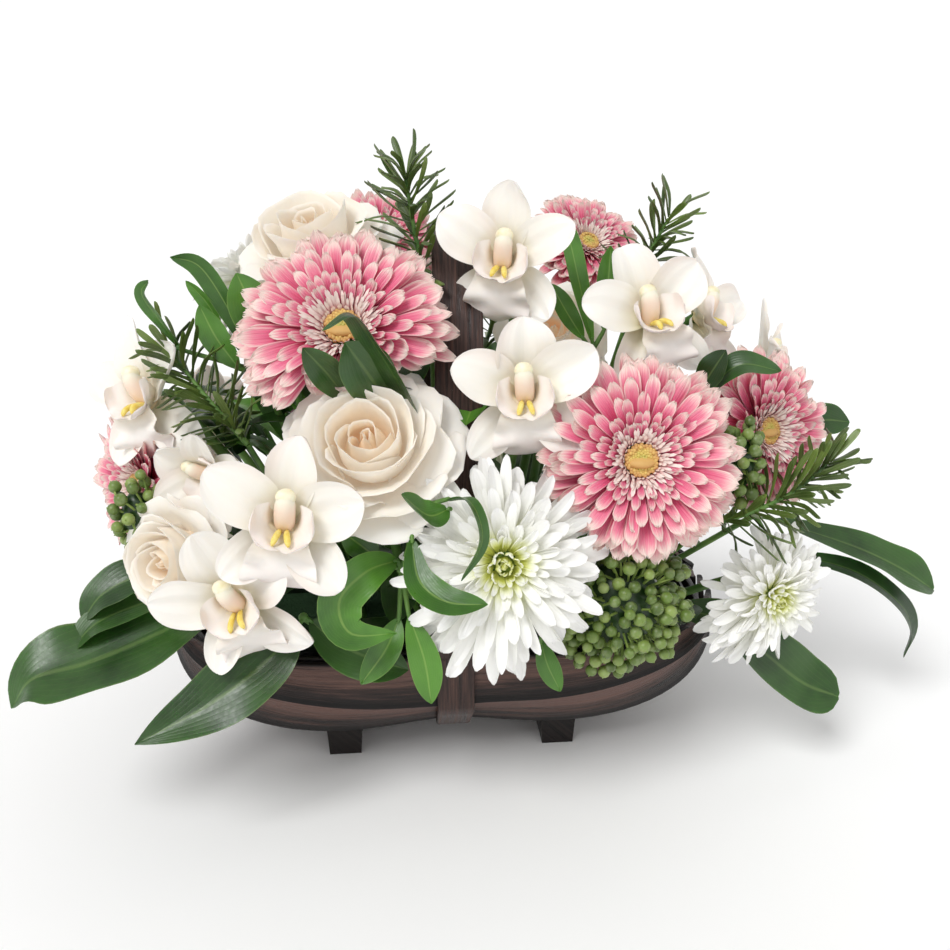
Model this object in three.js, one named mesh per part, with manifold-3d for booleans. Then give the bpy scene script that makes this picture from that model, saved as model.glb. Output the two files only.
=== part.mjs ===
// A flower basket arrangement: an oval wooden trug of lapped boards with one bent hoop for a handle,
// a liner and a block of wet foam inside it, and cut flowers and leaves that stand in the foam.
// Millimetres, +Z up, +X to the right of someone who faces the front, which looks along -Y.
// Every flower is placed from the trug's middle on the floor, and the whole group is moved at the end
// so that the origin lies on the floor under the middle of the arrangement.

import * as THREE from "three";
import { mergeVertices } from "three/addons/utils/BufferGeometryUtils.js";
import Module from "manifold-3d";

const wasm = await Module();
wasm.setup();

// Driving dimensions

const CLEAR = 0.35; // the gap between two pieces that touch
const RIM_HEIGHT = 86; // from the floor to the top edge of the boards
const FLOOR_HEIGHT = 22; // from the floor to the inside of the bottom board
const HALF_LENGTH = 158; // of the inside of the boards at the rim
const HALF_WIDTH = 97;
const PLAN_POWER = 3.2; // how square the trug is seen from above
const SECTION_POWER = 3; // how full its sides are
const WAIST = 0.07; // share by which the hoop draws the boards in
const WAIST_REACH = 50;
const END_FAN = THREE.MathUtils.degToRad(42); // half the stretch of rim where the boards end
const BOARD_THICK = 3;
const LAP = 4; // how far a board's lower edge reaches down over the next one
const LAP_LIFT = 4.4; // and how far it stands out there
const BOARD_EDGES = [14, 37, 64, 90].map(THREE.MathUtils.degToRad); // turn of each edge from the keel
const BOARD_STEPS = 12;
const HOOP_TOP = 306;
const HOOP_THICK = 3;
const HOOP_WIDTHS = [19.5, 26.5]; // under the trug and at the top
const HOOP_SLACK = 1.2; // the boards bulge about this much under the hoop's edges
const HOOP_STEPS_OVER = 14;
const HOOP_LEAN = 6; // the hoop's top leans to the right
const HOOP_POWER = 2.3;
const RIM_BAND = 11;
const RIM_BAND_THICK = 3.4;
const RIM_BAND_GAP = CLEAR + 0.9;
const RIM_BAND_SLOPES = [0.2, 0.27]; // how it leans in downwards, at the ends and at the waist
const FOOT_X = 65;
const FOOT_HALF_SPAN = 60;
const FOOT_WIDTH = 22;
const FOOT_TAPER = 1.5;
const FOOT_RISE = 6; // how far the rail reaches above the bottom board before it is scribed
const SCRIBE_DEPTH = 24; // how far inwards the boards cut away the rail's top
const LINER_THICK = 1.4;
const LINER_EDGE = 1.5; // how far the liner stands above the boards
const FOAM = { length: 230, width: 110, top: 108 };
const STEM_END = { x: 0.5, y: 0.28, z: 66 }; // where a stem ends in the foam, from its head's place
const STEM_SPREAD = { x: 96, y: 36 }; // how far from the middle a stem may end
const FIRST_SEED = 100;

const COLOURS = {
  board: ["#4a3833", 0.55],
  board_dark: ["#30231f", 0.6],
  liner: ["#20241f", 0.4],
  foam: ["#3f5b3c", 0.95],
  gerbera: ["#e88aa0", 0.6],
  orchid: ["#f3ece4", 0.5],
  rose: ["#f4e8d4", 0.6],
  mum: ["#f7f6ee", 0.6],
  berries: ["#5d7a3c", 0.5],
  rosemary: ["#3f5f3a", 0.7],
  leafy: ["#2f5a30", 0.45],
  leafy_bright: ["#4c8a2f", 0.45],
};

// Vectors and frames

const vec = (x, y, z) => new THREE.Vector3(x, y, z);
const at = ([x, y, z]) => vec(x, y, z);
const rad = THREE.MathUtils.degToRad;
const mix = THREE.MathUtils.lerp;

// The direction that a face looks in: azimuth 0 is the front, 90 the right, 180 the back.
function facing([azimuth, elevation]) {
  const flat = Math.cos(rad(elevation));
  return vec(Math.sin(rad(azimuth)) * flat, -Math.cos(rad(azimuth)) * flat, Math.sin(rad(elevation)));
}

// A head's own frame: its z axis is the way it faces and its y axis points up, turned by roll.
function frameOf({ place, face, roll = 0 }) {
  const z = facing(face);
  const x = new THREE.Vector3().crossVectors(vec(0, 0, 1), z).normalize();
  const y = new THREE.Vector3().crossVectors(z, x);
  const frame = new THREE.Matrix4().makeBasis(x, y, z);
  frame.multiply(new THREE.Matrix4().makeRotationZ(rad(roll)));
  return frame.setPosition(at(place));
}

// The same random numbers each time, from a seed.
function seeded(seed) {
  let state = seed >>> 0;
  return () => {
    state = (Math.imul(state, 1664525) + 1013904223) >>> 0;
    return state / 4294967296;
  };
}

// Solids

function solidOf(points, faces) {
  const build = (tris) =>
    new wasm.Manifold(
      new wasm.Mesh({
        numProp: 3,
        vertProperties: new Float32Array(points.flatMap((p) => [p.x, p.y, p.z])),
        triVerts: new Uint32Array(tris.flat()),
      }),
    );
  const solid = build(faces);
  return solid.volume() > 0 ? solid : build(faces.map(([a, b, c]) => [a, c, b]));
}

function solidFromGeometry(geometry) {
  geometry.deleteAttribute("normal");
  geometry.deleteAttribute("uv");
  const merged = mergeVertices(geometry, 1e-3);
  const places = merged.getAttribute("position");
  const points = [];
  for (let i = 0; i < places.count; i += 1) {
    points.push(vec(places.getX(i), places.getY(i), places.getZ(i)));
  }
  const faces = [];
  for (let i = 0; i < merged.index.count; i += 3) {
    const [a, b, c] = [0, 1, 2].map((k) => merged.index.getX(i + k));
    if (a !== b && b !== c && c !== a) faces.push([a, b, c]);
  }
  return solidOf(points, faces);
}

function geometryOf(solid) {
  const mesh = solid.getMesh();
  const geometry = new THREE.BufferGeometry();
  geometry.setAttribute("position", new THREE.BufferAttribute(new Float32Array(mesh.vertProperties), 3));
  geometry.setIndex(new THREE.BufferAttribute(new Uint32Array(mesh.triVerts), 1));
  geometry.computeVertexNormals();
  return geometry;
}

// Rings of equal length joined into a closed skin. An end is a ring that gets a cap, or one point.
// A quad between two rings is cut along one diagonal, or along the other where crosswise says so.
function skin(rings, closed = false, crosswise = () => false) {
  const points = rings.flat();
  const starts = [];
  rings.reduce((sum, ring) => {
    starts.push(sum);
    return sum + ring.length;
  }, 0);
  const faces = [];
  const joins = closed ? rings.length : rings.length - 1;
  for (let i = 0; i < joins; i += 1) {
    const j = (i + 1) % rings.length;
    const [near, far] = [rings[i].length, rings[j].length];
    for (let k = 0; k < Math.max(near, far); k += 1) {
      const a = starts[i] + (k % near);
      const b = starts[i] + ((k + 1) % near);
      const c = starts[j] + ((k + 1) % far);
      const d = starts[j] + (k % far);
      if (near > 1 && far > 1 && crosswise(i, k)) {
        faces.push([a, b, d], [b, c, d]);
        continue;
      }
      if (near > 1) faces.push([a, b, far > 1 ? c : d]);
      if (far > 1) faces.push([a, c, d]);
    }
  }
  if (!closed) {
    for (const [ring, start] of [[rings[0], starts[0]], [rings.at(-1), starts.at(-1)]]) {
      const first = start === 0;
      for (let k = 1; k < ring.length - 1; k += 1) {
        faces.push(first ? [start, start + k + 1, start + k] : [start, start + k, start + k + 1]);
      }
    }
  }
  return solidOf(points, faces);
}

const BAR_SIDES = 3;

// A slim bar through the given points, with a radius at each.
function bar(points, radii) {
  const rings = [];
  let across = null;
  points.forEach((point, i) => {
    const along = new THREE.Vector3()
      .subVectors(points[Math.min(i + 1, points.length - 1)], points[Math.max(i - 1, 0)])
      .normalize();
    across ??= Math.abs(along.z) < 0.9 ? vec(0, 0, 1) : vec(1, 0, 0);
    const side = new THREE.Vector3().crossVectors(along, across).normalize();
    across = new THREE.Vector3().crossVectors(side, along);
    const ring = [];
    for (let k = 0; k < BAR_SIDES; k += 1) {
      const turn = (2 * Math.PI * k) / BAR_SIDES;
      ring.push(
        point
          .clone()
          .addScaledVector(side, Math.cos(turn) * radii[i])
          .addScaledVector(across, Math.sin(turn) * radii[i]),
      );
    }
    rings.push(ring);
  });
  return skin(rings);
}

function turned(profile, sides, frame) {
  const geometry = new THREE.LatheGeometry(profile.map(([r, z]) => new THREE.Vector2(r, z)), sides);
  geometry.rotateX(Math.PI / 2);
  geometry.applyMatrix4(frame);
  return solidFromGeometry(geometry);
}

function ball(place, radii) {
  const geometry = new THREE.IcosahedronGeometry(1, 0);
  geometry.scale(...radii);
  geometry.translate(place.x, place.y, place.z);
  return solidFromGeometry(geometry);
}

// The solids joined in one body. A scrap that touches nothing is dropped.
function joined(solids) {
  const bodies = solids.reduce((sum, solid) => sum.add(solid)).decompose();
  return bodies.reduce((best, body) => (body.volume() > best.volume() ? body : best));
}

// Keeping pieces clear of each other

const taken = []; // every piece that a later one must keep clear of

function claim(name, solid) {
  taken.push({ name, solid, box: solid.boundingBox() });
}

function boxesMeet(a, b) {
  return [0, 1, 2].every((k) => a.min[k] < b.max[k] && b.min[k] < a.max[k]);
}

function crossed(solid, owner) {
  const box = solid.boundingBox();
  const near = taken.filter((piece) => piece.name !== owner && boxesMeet(piece.box, box));
  return near.filter((piece) => !piece.solid.intersect(solid).isEmpty());
}

// The first shape in a row of tries that keeps clear of other pieces, and of its own node's earlier
// petals where that can be had. Each try builds its solid from a bend and a margin.
function firstClear(owner, tries, build, kept = []) {
  let spare = null;
  for (const bend of tries) {
    if (crossed(build(bend, CLEAR), owner).length > 0) continue;
    const solid = build(bend, 0);
    const box = solid.boundingBox();
    const meets = (other) => boxesMeet(other.boundingBox(), box) && !other.intersect(solid).isEmpty();
    if (!kept.some(meets)) return solid;
    spare ??= solid;
  }
  return spare;
}

// The trug

// The trug is a superellipsoid's lower half. The arguments are shares of its half axes.
function shellSize(x, y, z) {
  const plan = Math.abs(x) ** PLAN_POWER + Math.abs(y) ** PLAN_POWER;
  return (plan ** (SECTION_POWER / PLAN_POWER) + Math.abs(z) ** SECTION_POWER) ** (-1 / SECTION_POWER);
}

const waist = (x) => 1 - WAIST * Math.exp(-((x / WAIST_REACH) ** 2));

// A point on the inside of the boards: along runs from -1 at the left end to 1 at the right one, and
// turn from -90 degrees at the back rim through the keel to 90 at the front rim.
function shellPoint(along, turn) {
  const reach = Math.abs(along);
  const fan = (END_FAN * turn) / (Math.PI / 2);
  const start = vec(0, -Math.sin(turn), Math.cos(turn));
  const end = vec(Math.cos(fan), -Math.sin(fan), 0);
  const angle = start.angleTo(end);
  const way = start
    .clone()
    .multiplyScalar(Math.sin((1 - reach) * angle))
    .addScaledVector(end, Math.sin(reach * angle))
    .normalize();
  const size = shellSize(way.x, way.y, way.z);
  const x = Math.sign(along) * HALF_LENGTH * way.x * size;
  const pinch = waist(x) * size;
  return vec(x, HALF_WIDTH * way.y * pinch, RIM_HEIGHT - (RIM_HEIGHT - FLOOR_HEIGHT) * way.z * pinch);
}

// The same point moved out along the shell's normal.
function shellOffset(along, turn, out) {
  const step = 0.01;
  const inner = THREE.MathUtils.clamp(along, -1 + step, 1 - step);
  const side = THREE.MathUtils.clamp(turn, -Math.PI / 2 + step, Math.PI / 2 - step);
  const da = shellPoint(inner + step, side).sub(shellPoint(inner - step, side));
  const dt = shellPoint(inner, side + step).sub(shellPoint(inner, side - step));
  return shellPoint(along, turn).addScaledVector(da.cross(dt).normalize(), out);
}

function boardBands() {
  const bands = [{ name: "board_bottom", low: -BOARD_EDGES[0], high: BOARD_EDGES[0], lap: 0, lift: 0 }];
  ["low", "mid", "top"].forEach((name, k) => {
    const [low, high] = [BOARD_EDGES[k], BOARD_EDGES[k + 1]];
    bands.push({ name: `board_front_${name}`, low, high, lap: LAP, lift: LAP_LIFT });
    bands.push({ name: `board_back_${name}`, low: -low, high: -high, lap: LAP, lift: LAP_LIFT });
  });
  return bands;
}

// A board's section at a station: flat, with its lower edge out over the board below. The corners run
// from the inside of the lower edge over the outside to the inside of the upper edge.
function boardSection(band, along, margin = 0, inward = 0) {
  const step = 0.01;
  const low = shellPoint(along, band.low);
  const high = shellPoint(along, band.high);
  const middle = (band.low + band.high) / 2;
  const up = high.clone().sub(low).normalize();
  const ahead = shellPoint(Math.min(along + step, 1), middle);
  const run = ahead.sub(shellPoint(Math.max(along - step, -1), middle));
  const out = run.cross(up).multiplyScalar(Math.sign(band.high - band.low)).normalize();
  low.addScaledVector(up, -band.lap - margin).addScaledVector(out, band.lift);
  high.addScaledVector(up, margin);
  return [
    low.clone().addScaledVector(out, -margin - inward),
    low.clone().addScaledVector(out, BOARD_THICK + margin),
    high.clone().addScaledVector(out, BOARD_THICK + margin),
    high.clone().addScaledVector(out, -margin - inward),
  ];
}

function board(band, margin = 0, inward = 0) {
  const rings = [];
  for (let i = 0; i <= BOARD_STEPS; i += 1) {
    rings.push(boardSection(band, (2 * i) / BOARD_STEPS - 1, margin, inward));
  }
  const inside = 3;
  return skin(rings, false, (i, k) => (k === inside) === i >= BOARD_STEPS / 2);
}

// The hoop inside the rim. It bends where the boards do, so that it lies along them.
function rimHoop() {
  const side = [-6, -5, -4, -2, 0, 2, 4, 5, 6].map((k) => (2 * k) / BOARD_STEPS);
  const end = BOARD_EDGES.slice(0, -1);
  const fan = [...end.toReversed(), ...end.map((turn) => -turn)];
  const front = side.map((along) => shellPoint(along, Math.PI / 2));
  const right = fan.map((turn) => shellPoint(1, turn));
  const back = side.map((along) => shellPoint(-along, -Math.PI / 2));
  const left = fan.map((turn) => shellPoint(-1, -turn));
  const top = [...front, ...right, ...back, ...left];
  const rings = top.map((point, i) => {
    const along = top[(i + 1) % top.length].clone().sub(top.at(i - 1)).normalize();
    const out = vec(along.y, -along.x, 0);
    const lean = RIM_BAND * mix(...RIM_BAND_SLOPES, Math.exp(-((point.x / WAIST_REACH) ** 2)));
    const corner = (inset, below) => point.clone().addScaledVector(out, -inset).add(vec(0, 0, -below));
    return [
      corner(RIM_BAND_GAP + lean, RIM_BAND),
      corner(RIM_BAND_GAP, -1),
      corner(RIM_BAND_GAP + RIM_BAND_THICK, -1),
      corner(RIM_BAND_GAP + RIM_BAND_THICK + lean, RIM_BAND),
    ];
  });
  return skin(rings, true);
}

// The middle line of the handle hoop, closed, in the plane across the trug. It runs down one side
// over the boards' lower edges, under the keel, up the other side and over the top.
function hoopLine() {
  const away = CLEAR + HOOP_SLACK + HOOP_THICK / 2;
  const outside = (band, corner) => {
    const section = boardSection(band, 0);
    const out = section[1].clone().sub(section[0]).normalize();
    return section[corner].addScaledVector(out, away);
  };
  const front = boardBands().filter((band) => band.low > 0);
  const back = boardBands().filter((band) => band.low < 0 && band.high < 0);
  const line = [
    outside(front.at(-1), 2),
    ...front.toReversed().map((band) => outside(band, 1)),
    ...back.map((band) => outside(band, 1)),
    outside(back.at(-1), 2),
  ];
  const side = line.at(-1).y;
  const height = HOOP_TOP - RIM_HEIGHT;
  for (let i = 1; i < HOOP_STEPS_OVER; i += 1) {
    const angle = (Math.PI * i) / HOOP_STEPS_OVER;
    const y = Math.sign(Math.cos(angle)) * side * Math.abs(Math.cos(angle)) ** (2 / HOOP_POWER);
    const rise = Math.sin(angle) ** (2 / HOOP_POWER);
    line.push(vec(HOOP_LEAN * rise, y, RIM_HEIGHT + height * rise));
  }
  return line;
}

function handleHoop() {
  const line = hoopLine();
  const lowest = Math.min(...line.map((point) => point.z));
  const rings = line.map((point, i) => {
    const along = line[(i + 1) % line.length].clone().sub(line.at(i - 1)).normalize();
    const out = vec(0, along.z, -along.y).normalize().multiplyScalar(HOOP_THICK / 2);
    const width = mix(...HOOP_WIDTHS, (point.z - lowest) / (HOOP_TOP - lowest));
    const half = vec(width / 2, 0, 0);
    return [
      point.clone().add(out).sub(half),
      point.clone().add(out).add(half),
      point.clone().sub(out).add(half),
      point.clone().sub(out).sub(half),
    ];
  });
  return skin(rings, true);
}

// A foot is a rail across the trug whose top is scribed to the boards above it.
function foot(x) {
  const half = FOOT_WIDTH / 2;
  const level = (z, inset) => [
    vec(x - half + inset, -FOOT_HALF_SPAN + inset, z),
    vec(x + half - inset, -FOOT_HALF_SPAN + inset, z),
    vec(x + half - inset, FOOT_HALF_SPAN - inset, z),
    vec(x - half + inset, FOOT_HALF_SPAN - inset, z),
  ];
  const rail = skin([level(0, FOOT_TAPER), level(FLOOR_HEIGHT + FOOT_RISE, 0)]);
  const boards = boardBands().map((band) => board(band, CLEAR, SCRIBE_DEPTH));
  return joined([boards.reduce((left, cut) => left.subtract(cut), rail)]);
}

const BOWL_COLUMNS = 6;
const BOWL_ROWS = 4;
const LINER_GAP_LOW = 0.8;
const LINER_GAP_RIM = RIM_BAND_GAP + RIM_BAND_THICK + CLEAR + 3.6;
const OPEN_TOP = 20; // a bowl that cuts another runs on this far above it

// A bowl that follows the inside of the shell, closed off flat at a height. The gap to the shell is
// small at the middle of the bottom, where it rests, and grows to clear the rim hoop and the ends.
function bowlBlank(inset, top) {
  const [columns, rows] = [BOWL_COLUMNS, BOWL_ROWS];
  const grid = [];
  for (let j = 0; j <= rows; j += 1) {
    for (let i = 0; i <= columns; i += 1) {
      const along = (2 * i) / columns - 1;
      const turn = mix(-Math.PI / 2, Math.PI / 2, j / rows);
      const away = Math.max(Math.abs(Math.sin(turn)), along ** 2);
      grid.push(shellOffset(along, turn, -mix(LINER_GAP_LOW, LINER_GAP_RIM, away) - inset));
    }
  }
  const id = (i, j) => j * (columns + 1) + i;
  const faces = [];
  for (let j = 0; j < rows; j += 1) {
    for (let i = 0; i < columns; i += 1) {
      faces.push([id(i, j), id(i + 1, j), id(i + 1, j + 1)], [id(i, j), id(i + 1, j + 1), id(i, j + 1)]);
    }
  }
  const border = [];
  for (let i = 0; i < columns; i += 1) border.push(id(i, 0));
  for (let j = 0; j < rows; j += 1) border.push(id(columns, j));
  for (let i = columns; i > 0; i -= 1) border.push(id(i, rows));
  for (let j = rows; j > 0; j -= 1) border.push(id(0, j));
  const raised = border.map((k) => vec(grid[k].x, grid[k].y, top));
  const base = grid.length;
  const hub = base + border.length;
  border.forEach((a, k) => {
    const next = (k + 1) % border.length;
    faces.push([a, base + k, base + next], [a, base + next, border[next]]);
    faces.push([base + k, hub, base + next]);
  });
  return solidOf([...grid, ...raised, vec(0, 0, top)], faces);
}

function liner() {
  const top = RIM_HEIGHT + LINER_EDGE;
  return bowlBlank(0, top).subtract(bowlBlank(LINER_THICK, top + OPEN_TOP));
}

function foamBlock() {
  const height = FOAM.top - FLOOR_HEIGHT;
  const brick = new THREE.BoxGeometry(FOAM.length, FOAM.width, height);
  brick.translate(0, 0, FOAM.top - height / 2);
  return solidFromGeometry(brick).intersect(bowlBlank(LINER_THICK + CLEAR, FOAM.top + OPEN_TOP));
}

// Petals and leaves

// A closed blade with a pointed root and tip. Each station gives its place, across, up and half width.
// It has two edges and a keel below there. A broad one has a rib above as well, and its two sides are
// cut along the same diagonals, so that they stay apart where it twists.
const KEEL = 1.4; // how deep the keel is, in half thicknesses

function blade(root, stations, tip, thick, cup, broad = false) {
  const rings = stations.map(({ place, across, up, half }) => {
    const middle = place.clone().addScaledVector(up, cup * half);
    const edge = (side) => middle.clone().addScaledVector(across, side * half);
    const rib = (side) => place.clone().addScaledVector(up, (side * thick) / 2);
    return broad ? [edge(1), rib(1), edge(-1), rib(-1)] : [edge(1), edge(-1), rib(-KEEL)];
  });
  return skin([[root], ...rings, [tip]], false, (i, k) => broad && k >= 2);
}

// A petal in a bloom's own frame. It starts on the bloom's axis, runs out at a turn, and its pitch
// above the face changes evenly from root to tip. Widths are [share of length, share of width].
function petal(frame, shape, bend, margin) {
  const { turn, length, width, thick, cup = 0, start = 0, rise = 0, roll = 0, widths } = shape;
  const [first, last] = shape.pitch.map((p) => rad(p + bend.lift));
  const reach = length * bend.size + margin;
  const change = last - first;
  const middle = (t) => {
    const pitch = first + change * t;
    if (Math.abs(change) < 1e-3) {
      return [start + reach * t * Math.cos(first), rise + reach * t * Math.sin(first), first];
    }
    return [
      start + (reach * (Math.sin(pitch) - Math.sin(first))) / change,
      rise + (reach * (Math.cos(first) - Math.cos(pitch))) / change,
      pitch,
    ];
  };
  const place = (t) => {
    const [out, up] = middle(t);
    return vec(out * Math.cos(turn), out * Math.sin(turn), up).applyMatrix4(frame);
  };
  const stations = widths.map(([t, share]) => {
    const pitch = middle(t)[2];
    const across = vec(-Math.sin(turn), Math.cos(turn), 0).transformDirection(frame);
    const out = vec(Math.cos(turn), Math.sin(turn), 0).multiplyScalar(-Math.sin(pitch));
    const up = out.setZ(Math.cos(pitch)).transformDirection(frame);
    const along = new THREE.Vector3().crossVectors(up, across).normalize();
    across.applyAxisAngle(along, roll);
    up.applyAxisAngle(along, roll);
    return { place: place(t), across, up, half: (share * width * bend.size) / 2 + margin };
  });
  return blade(place(0), stations, place(1), thick + 2 * margin, cup);
}

const LIFTS = [0, 9, -9, 18, 28, -18, 40, 54];
const BENDS = [
  ...LIFTS.map((lift) => ({ lift, size: 1 })),
  ...LIFTS.map((lift) => ({ lift, size: 0.8 })),
  ...LIFTS.map((lift) => ({ lift, size: 0.62 })),
];

// How far a petal may differ from the others of its ring.
const UNEVEN = { turn: 0.1, pitch: 5, length: 0.08, roll: 0.15 };

// The petals of a ring that can be kept, each bent or shortened until it is clear.
function petalRing(owner, frame, ring, seed) {
  const random = seeded(seed);
  const kept = [];
  for (let i = 0; i < ring.count; i += 1) {
    const shape = {
      ...ring,
      turn: ((i + (ring.offset ?? 0)) * 2 * Math.PI) / ring.count + (random() - 0.5) * UNEVEN.turn,
      pitch: ring.pitch.map((p) => p + (random() - 0.5) * UNEVEN.pitch),
      length: ring.length * (1 - UNEVEN.length * random()),
      roll: (random() - 0.5) * UNEVEN.roll,
    };
    const found = firstClear(owner, BENDS, (bend, margin) => petal(frame, shape, bend, margin), kept);
    if (found) kept.push(found);
  }
  return kept;
}

// Stems

// A stem from its end in the foam, straight to a neck behind the head, and on to the head.
function stemPoints(item) {
  const head = at(item.place);
  const way = facing(item.face);
  const back = head.clone().addScaledVector(way, -item.back);
  const neck = head.clone().addScaledVector(way, -item.back - item.neck);
  const foot = item.foot
    ? at(item.foot)
    : vec(
        THREE.MathUtils.clamp(head.x * STEM_END.x, -STEM_SPREAD.x, STEM_SPREAD.x),
        THREE.MathUtils.clamp(head.y * STEM_END.y, -STEM_SPREAD.y, STEM_SPREAD.y),
        STEM_END.z,
      );
  return [foot, neck, back];
}

function stem(item) {
  const points = stemPoints(item);
  const line = item.neck > 0 ? points : [points[0], points[2]];
  return bar(line, line.map(() => item.stem));
}

// The plain hole that a stem stands in: it runs on below the stem and out past the foam.
function stemHole(item) {
  const [foot, neck] = stemPoints(item);
  const way = neck.clone().sub(foot).normalize();
  const radius = item.stem + CLEAR / Math.cos(Math.PI / BAR_SIDES);
  return bar([foot.clone().addScaledVector(way, -CLEAR), neck.clone()], [radius, radius]);
}

// Heads, each as a core that its petals root in, and then its petals

// A ring's start and reach are shares of the head's radius. Its petals' width is a share of an even
// division of the radius, so that they cover the ring at any count.
const LONG = [[0.8, 1]];
const LONG_FINE = [[0.5, 0.86], [0.86, 1]];

const GERBERA_RINGS = [
  { start: 0.24, reach: 1, width: 3.9, pitch: [4, -6], rise: -0.6 },
  { start: 0.22, reach: 0.84, width: 3.6, pitch: [17, 6], rise: 0.6, offset: 0.5 },
  { start: 0.17, reach: 0.5, width: 1.7, pitch: [44, 34], rise: 1.4 },
];

const MUM_RINGS = [
  { start: 0.18, reach: 1, width: 3, pitch: [-6, -24], rise: -1 },
  { start: 0.18, reach: 0.95, width: 2.8, pitch: [12, -2], rise: 1.5, offset: 0.5 },
  { start: 0.16, reach: 0.76, width: 1.9, pitch: [34, 24], rise: 4 },
  { start: 0.1, reach: 0.5, width: 0.9, pitch: [60, 54], rise: 5 },
];

function rayRings(item, frame, rings, counts, form) {
  const r = item.size / 2;
  return rings.slice(0, item.rings ?? rings.length).flatMap((ring, k) => {
    const shape = {
      ...ring,
      ...form,
      count: counts[k],
      start: ring.start * r,
      length: (ring.reach - ring.start) * r,
      width: (ring.width * r) / counts[k],
      widths: item.fine && k === 0 ? LONG_FINE : LONG,
    };
    return petalRing(item.name, frame, shape, item.seed + k);
  });
}

const gerbera = {
  core(item, frame) {
    const r = item.size / 2;
    return turned([[0, -9], [0.31 * r, -1.2], [0.25 * r, 2], [0, 2.8]], 7, frame);
  },
  petals(item, frame) {
    const counts = [item.rays, item.rays, item.inner];
    return rayRings(item, frame, GERBERA_RINGS, counts, { thick: 1.1, cup: 0.1 });
  },
};

const mum = {
  core(item, frame) {
    const r = item.size / 2;
    return turned([[0, -10], [0.26 * r, -2], [0.21 * r, 5], [0, 7.5]], 6, frame);
  },
  petals(item, frame) {
    const rays = item.rays ?? 10;
    return rayRings(item, frame, MUM_RINGS, [rays, rays, rays - 4, 6], { thick: 1.2, cup: 0.3 });
  },
};

// A rose: petals in rings round a bud, steep within and lying open outside.
const ROSE_RINGS = [
  { count: 3, start: 0.2, rise: 0.04, pitch: [76, 106], reach: 0.74, width: 0.62, cup: 0.25 },
  { count: 3, start: 0.2, rise: -0.08, pitch: [46, 98], reach: 0.86, width: 0.8, cup: 0.3 },
  { count: 4, start: 0.16, rise: -0.18, pitch: [20, 74], reach: 0.92, width: 0.95, cup: 0.26 },
  { count: 5, start: 0.12, rise: -0.27, pitch: [4, 26], reach: 0.94, width: 0.92, cup: 0.12 },
];

const rose = {
  core(item, frame) {
    const r = item.size / 2;
    const bud = [[0, -0.36], [0.18, -0.3], [0.26, -0.02], [0.12, 0.44], [0, 0.6]];
    return turned(bud.map(([out, up]) => [out * r, up * r]), 6, frame);
  },
  petals(item, frame) {
    const r = item.size / 2;
    return (item.rings ?? [0, 1, 2, 3]).flatMap((k) => {
      const ring = ROSE_RINGS[k];
      const shape = {
        ...ring,
        start: ring.start * r,
        rise: ring.rise * r,
        length: ring.reach * r,
        width: ring.width * r,
        widths: [[0.42, 0.86], [0.84, 0.86]],
        offset: 0.5 * k,
        thick: 1.3,
      };
      return petalRing(item.name, frame, shape, item.seed + k);
    });
  },
};

// An orchid: three sepals and two petals round a lip of three lobes, and a column over it.
const ORCHID_LEAVES = [
  { turn: 90, pitch: [22, 6], length: 1, width: 0.66, rise: -1 },
  { turn: 18, pitch: [30, 4], length: 0.96, width: 0.7, rise: 1 },
  { turn: 162, pitch: [30, 4], length: 0.96, width: 0.7, rise: 1 },
  { turn: -50, pitch: [12, -8], length: 0.98, width: 0.58, rise: -1 },
  { turn: -130, pitch: [12, -8], length: 0.98, width: 0.58, rise: -1 },
];
const ORCHID_LIP = [
  { turn: -90, pitch: [50, -34], length: 0.66, width: 0.46, rise: 1 },
  { turn: -34, pitch: [66, 34], length: 0.4, width: 0.28, rise: 2 },
  { turn: -146, pitch: [66, 34], length: 0.4, width: 0.28, rise: 2 },
];

const orchid = {
  core(item, frame) {
    const r = item.size / 2;
    return turned([[0, -5], [4.2, -2], [4.2, 3], [2.6, 0.34 * r], [0, 0.4 * r]], 5, frame);
  },
  petals(item, frame) {
    const r = item.size / 2;
    const wide = [[0.42, 0.82], [0.78, 0.9]];
    const lobe = [[0.75, 1]];
    const kept = [];
    for (const leaf of [...ORCHID_LEAVES, ...ORCHID_LIP]) {
      const shape = {
        ...leaf,
        turn: rad(leaf.turn),
        length: leaf.length * r,
        width: leaf.width * r,
        pitch: leaf.pitch.map((p) => p + (item.close ?? 0)),
        widths: ORCHID_LIP.includes(leaf) ? lobe : wide,
        start: 2.4,
        thick: 1.5,
        cup: 0.16,
      };
      const build = (bend, margin) => petal(frame, shape, bend, margin);
      const found = firstClear(item.name, BENDS, build, kept);
      if (found) kept.push(found);
    }
    return kept;
  },
};

const GOLDEN_TURN = Math.PI * (3 - Math.sqrt(5));
const BERRY_CORE = 0.66; // share of a bunch that its core fills
const BERRY_ROOT = 0.55; // share of the way out where a berry's stalk starts
const BERRY_FORM = { tip: 1.1, waist: 1.2, sides: 4 }; // in berry radii

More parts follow.
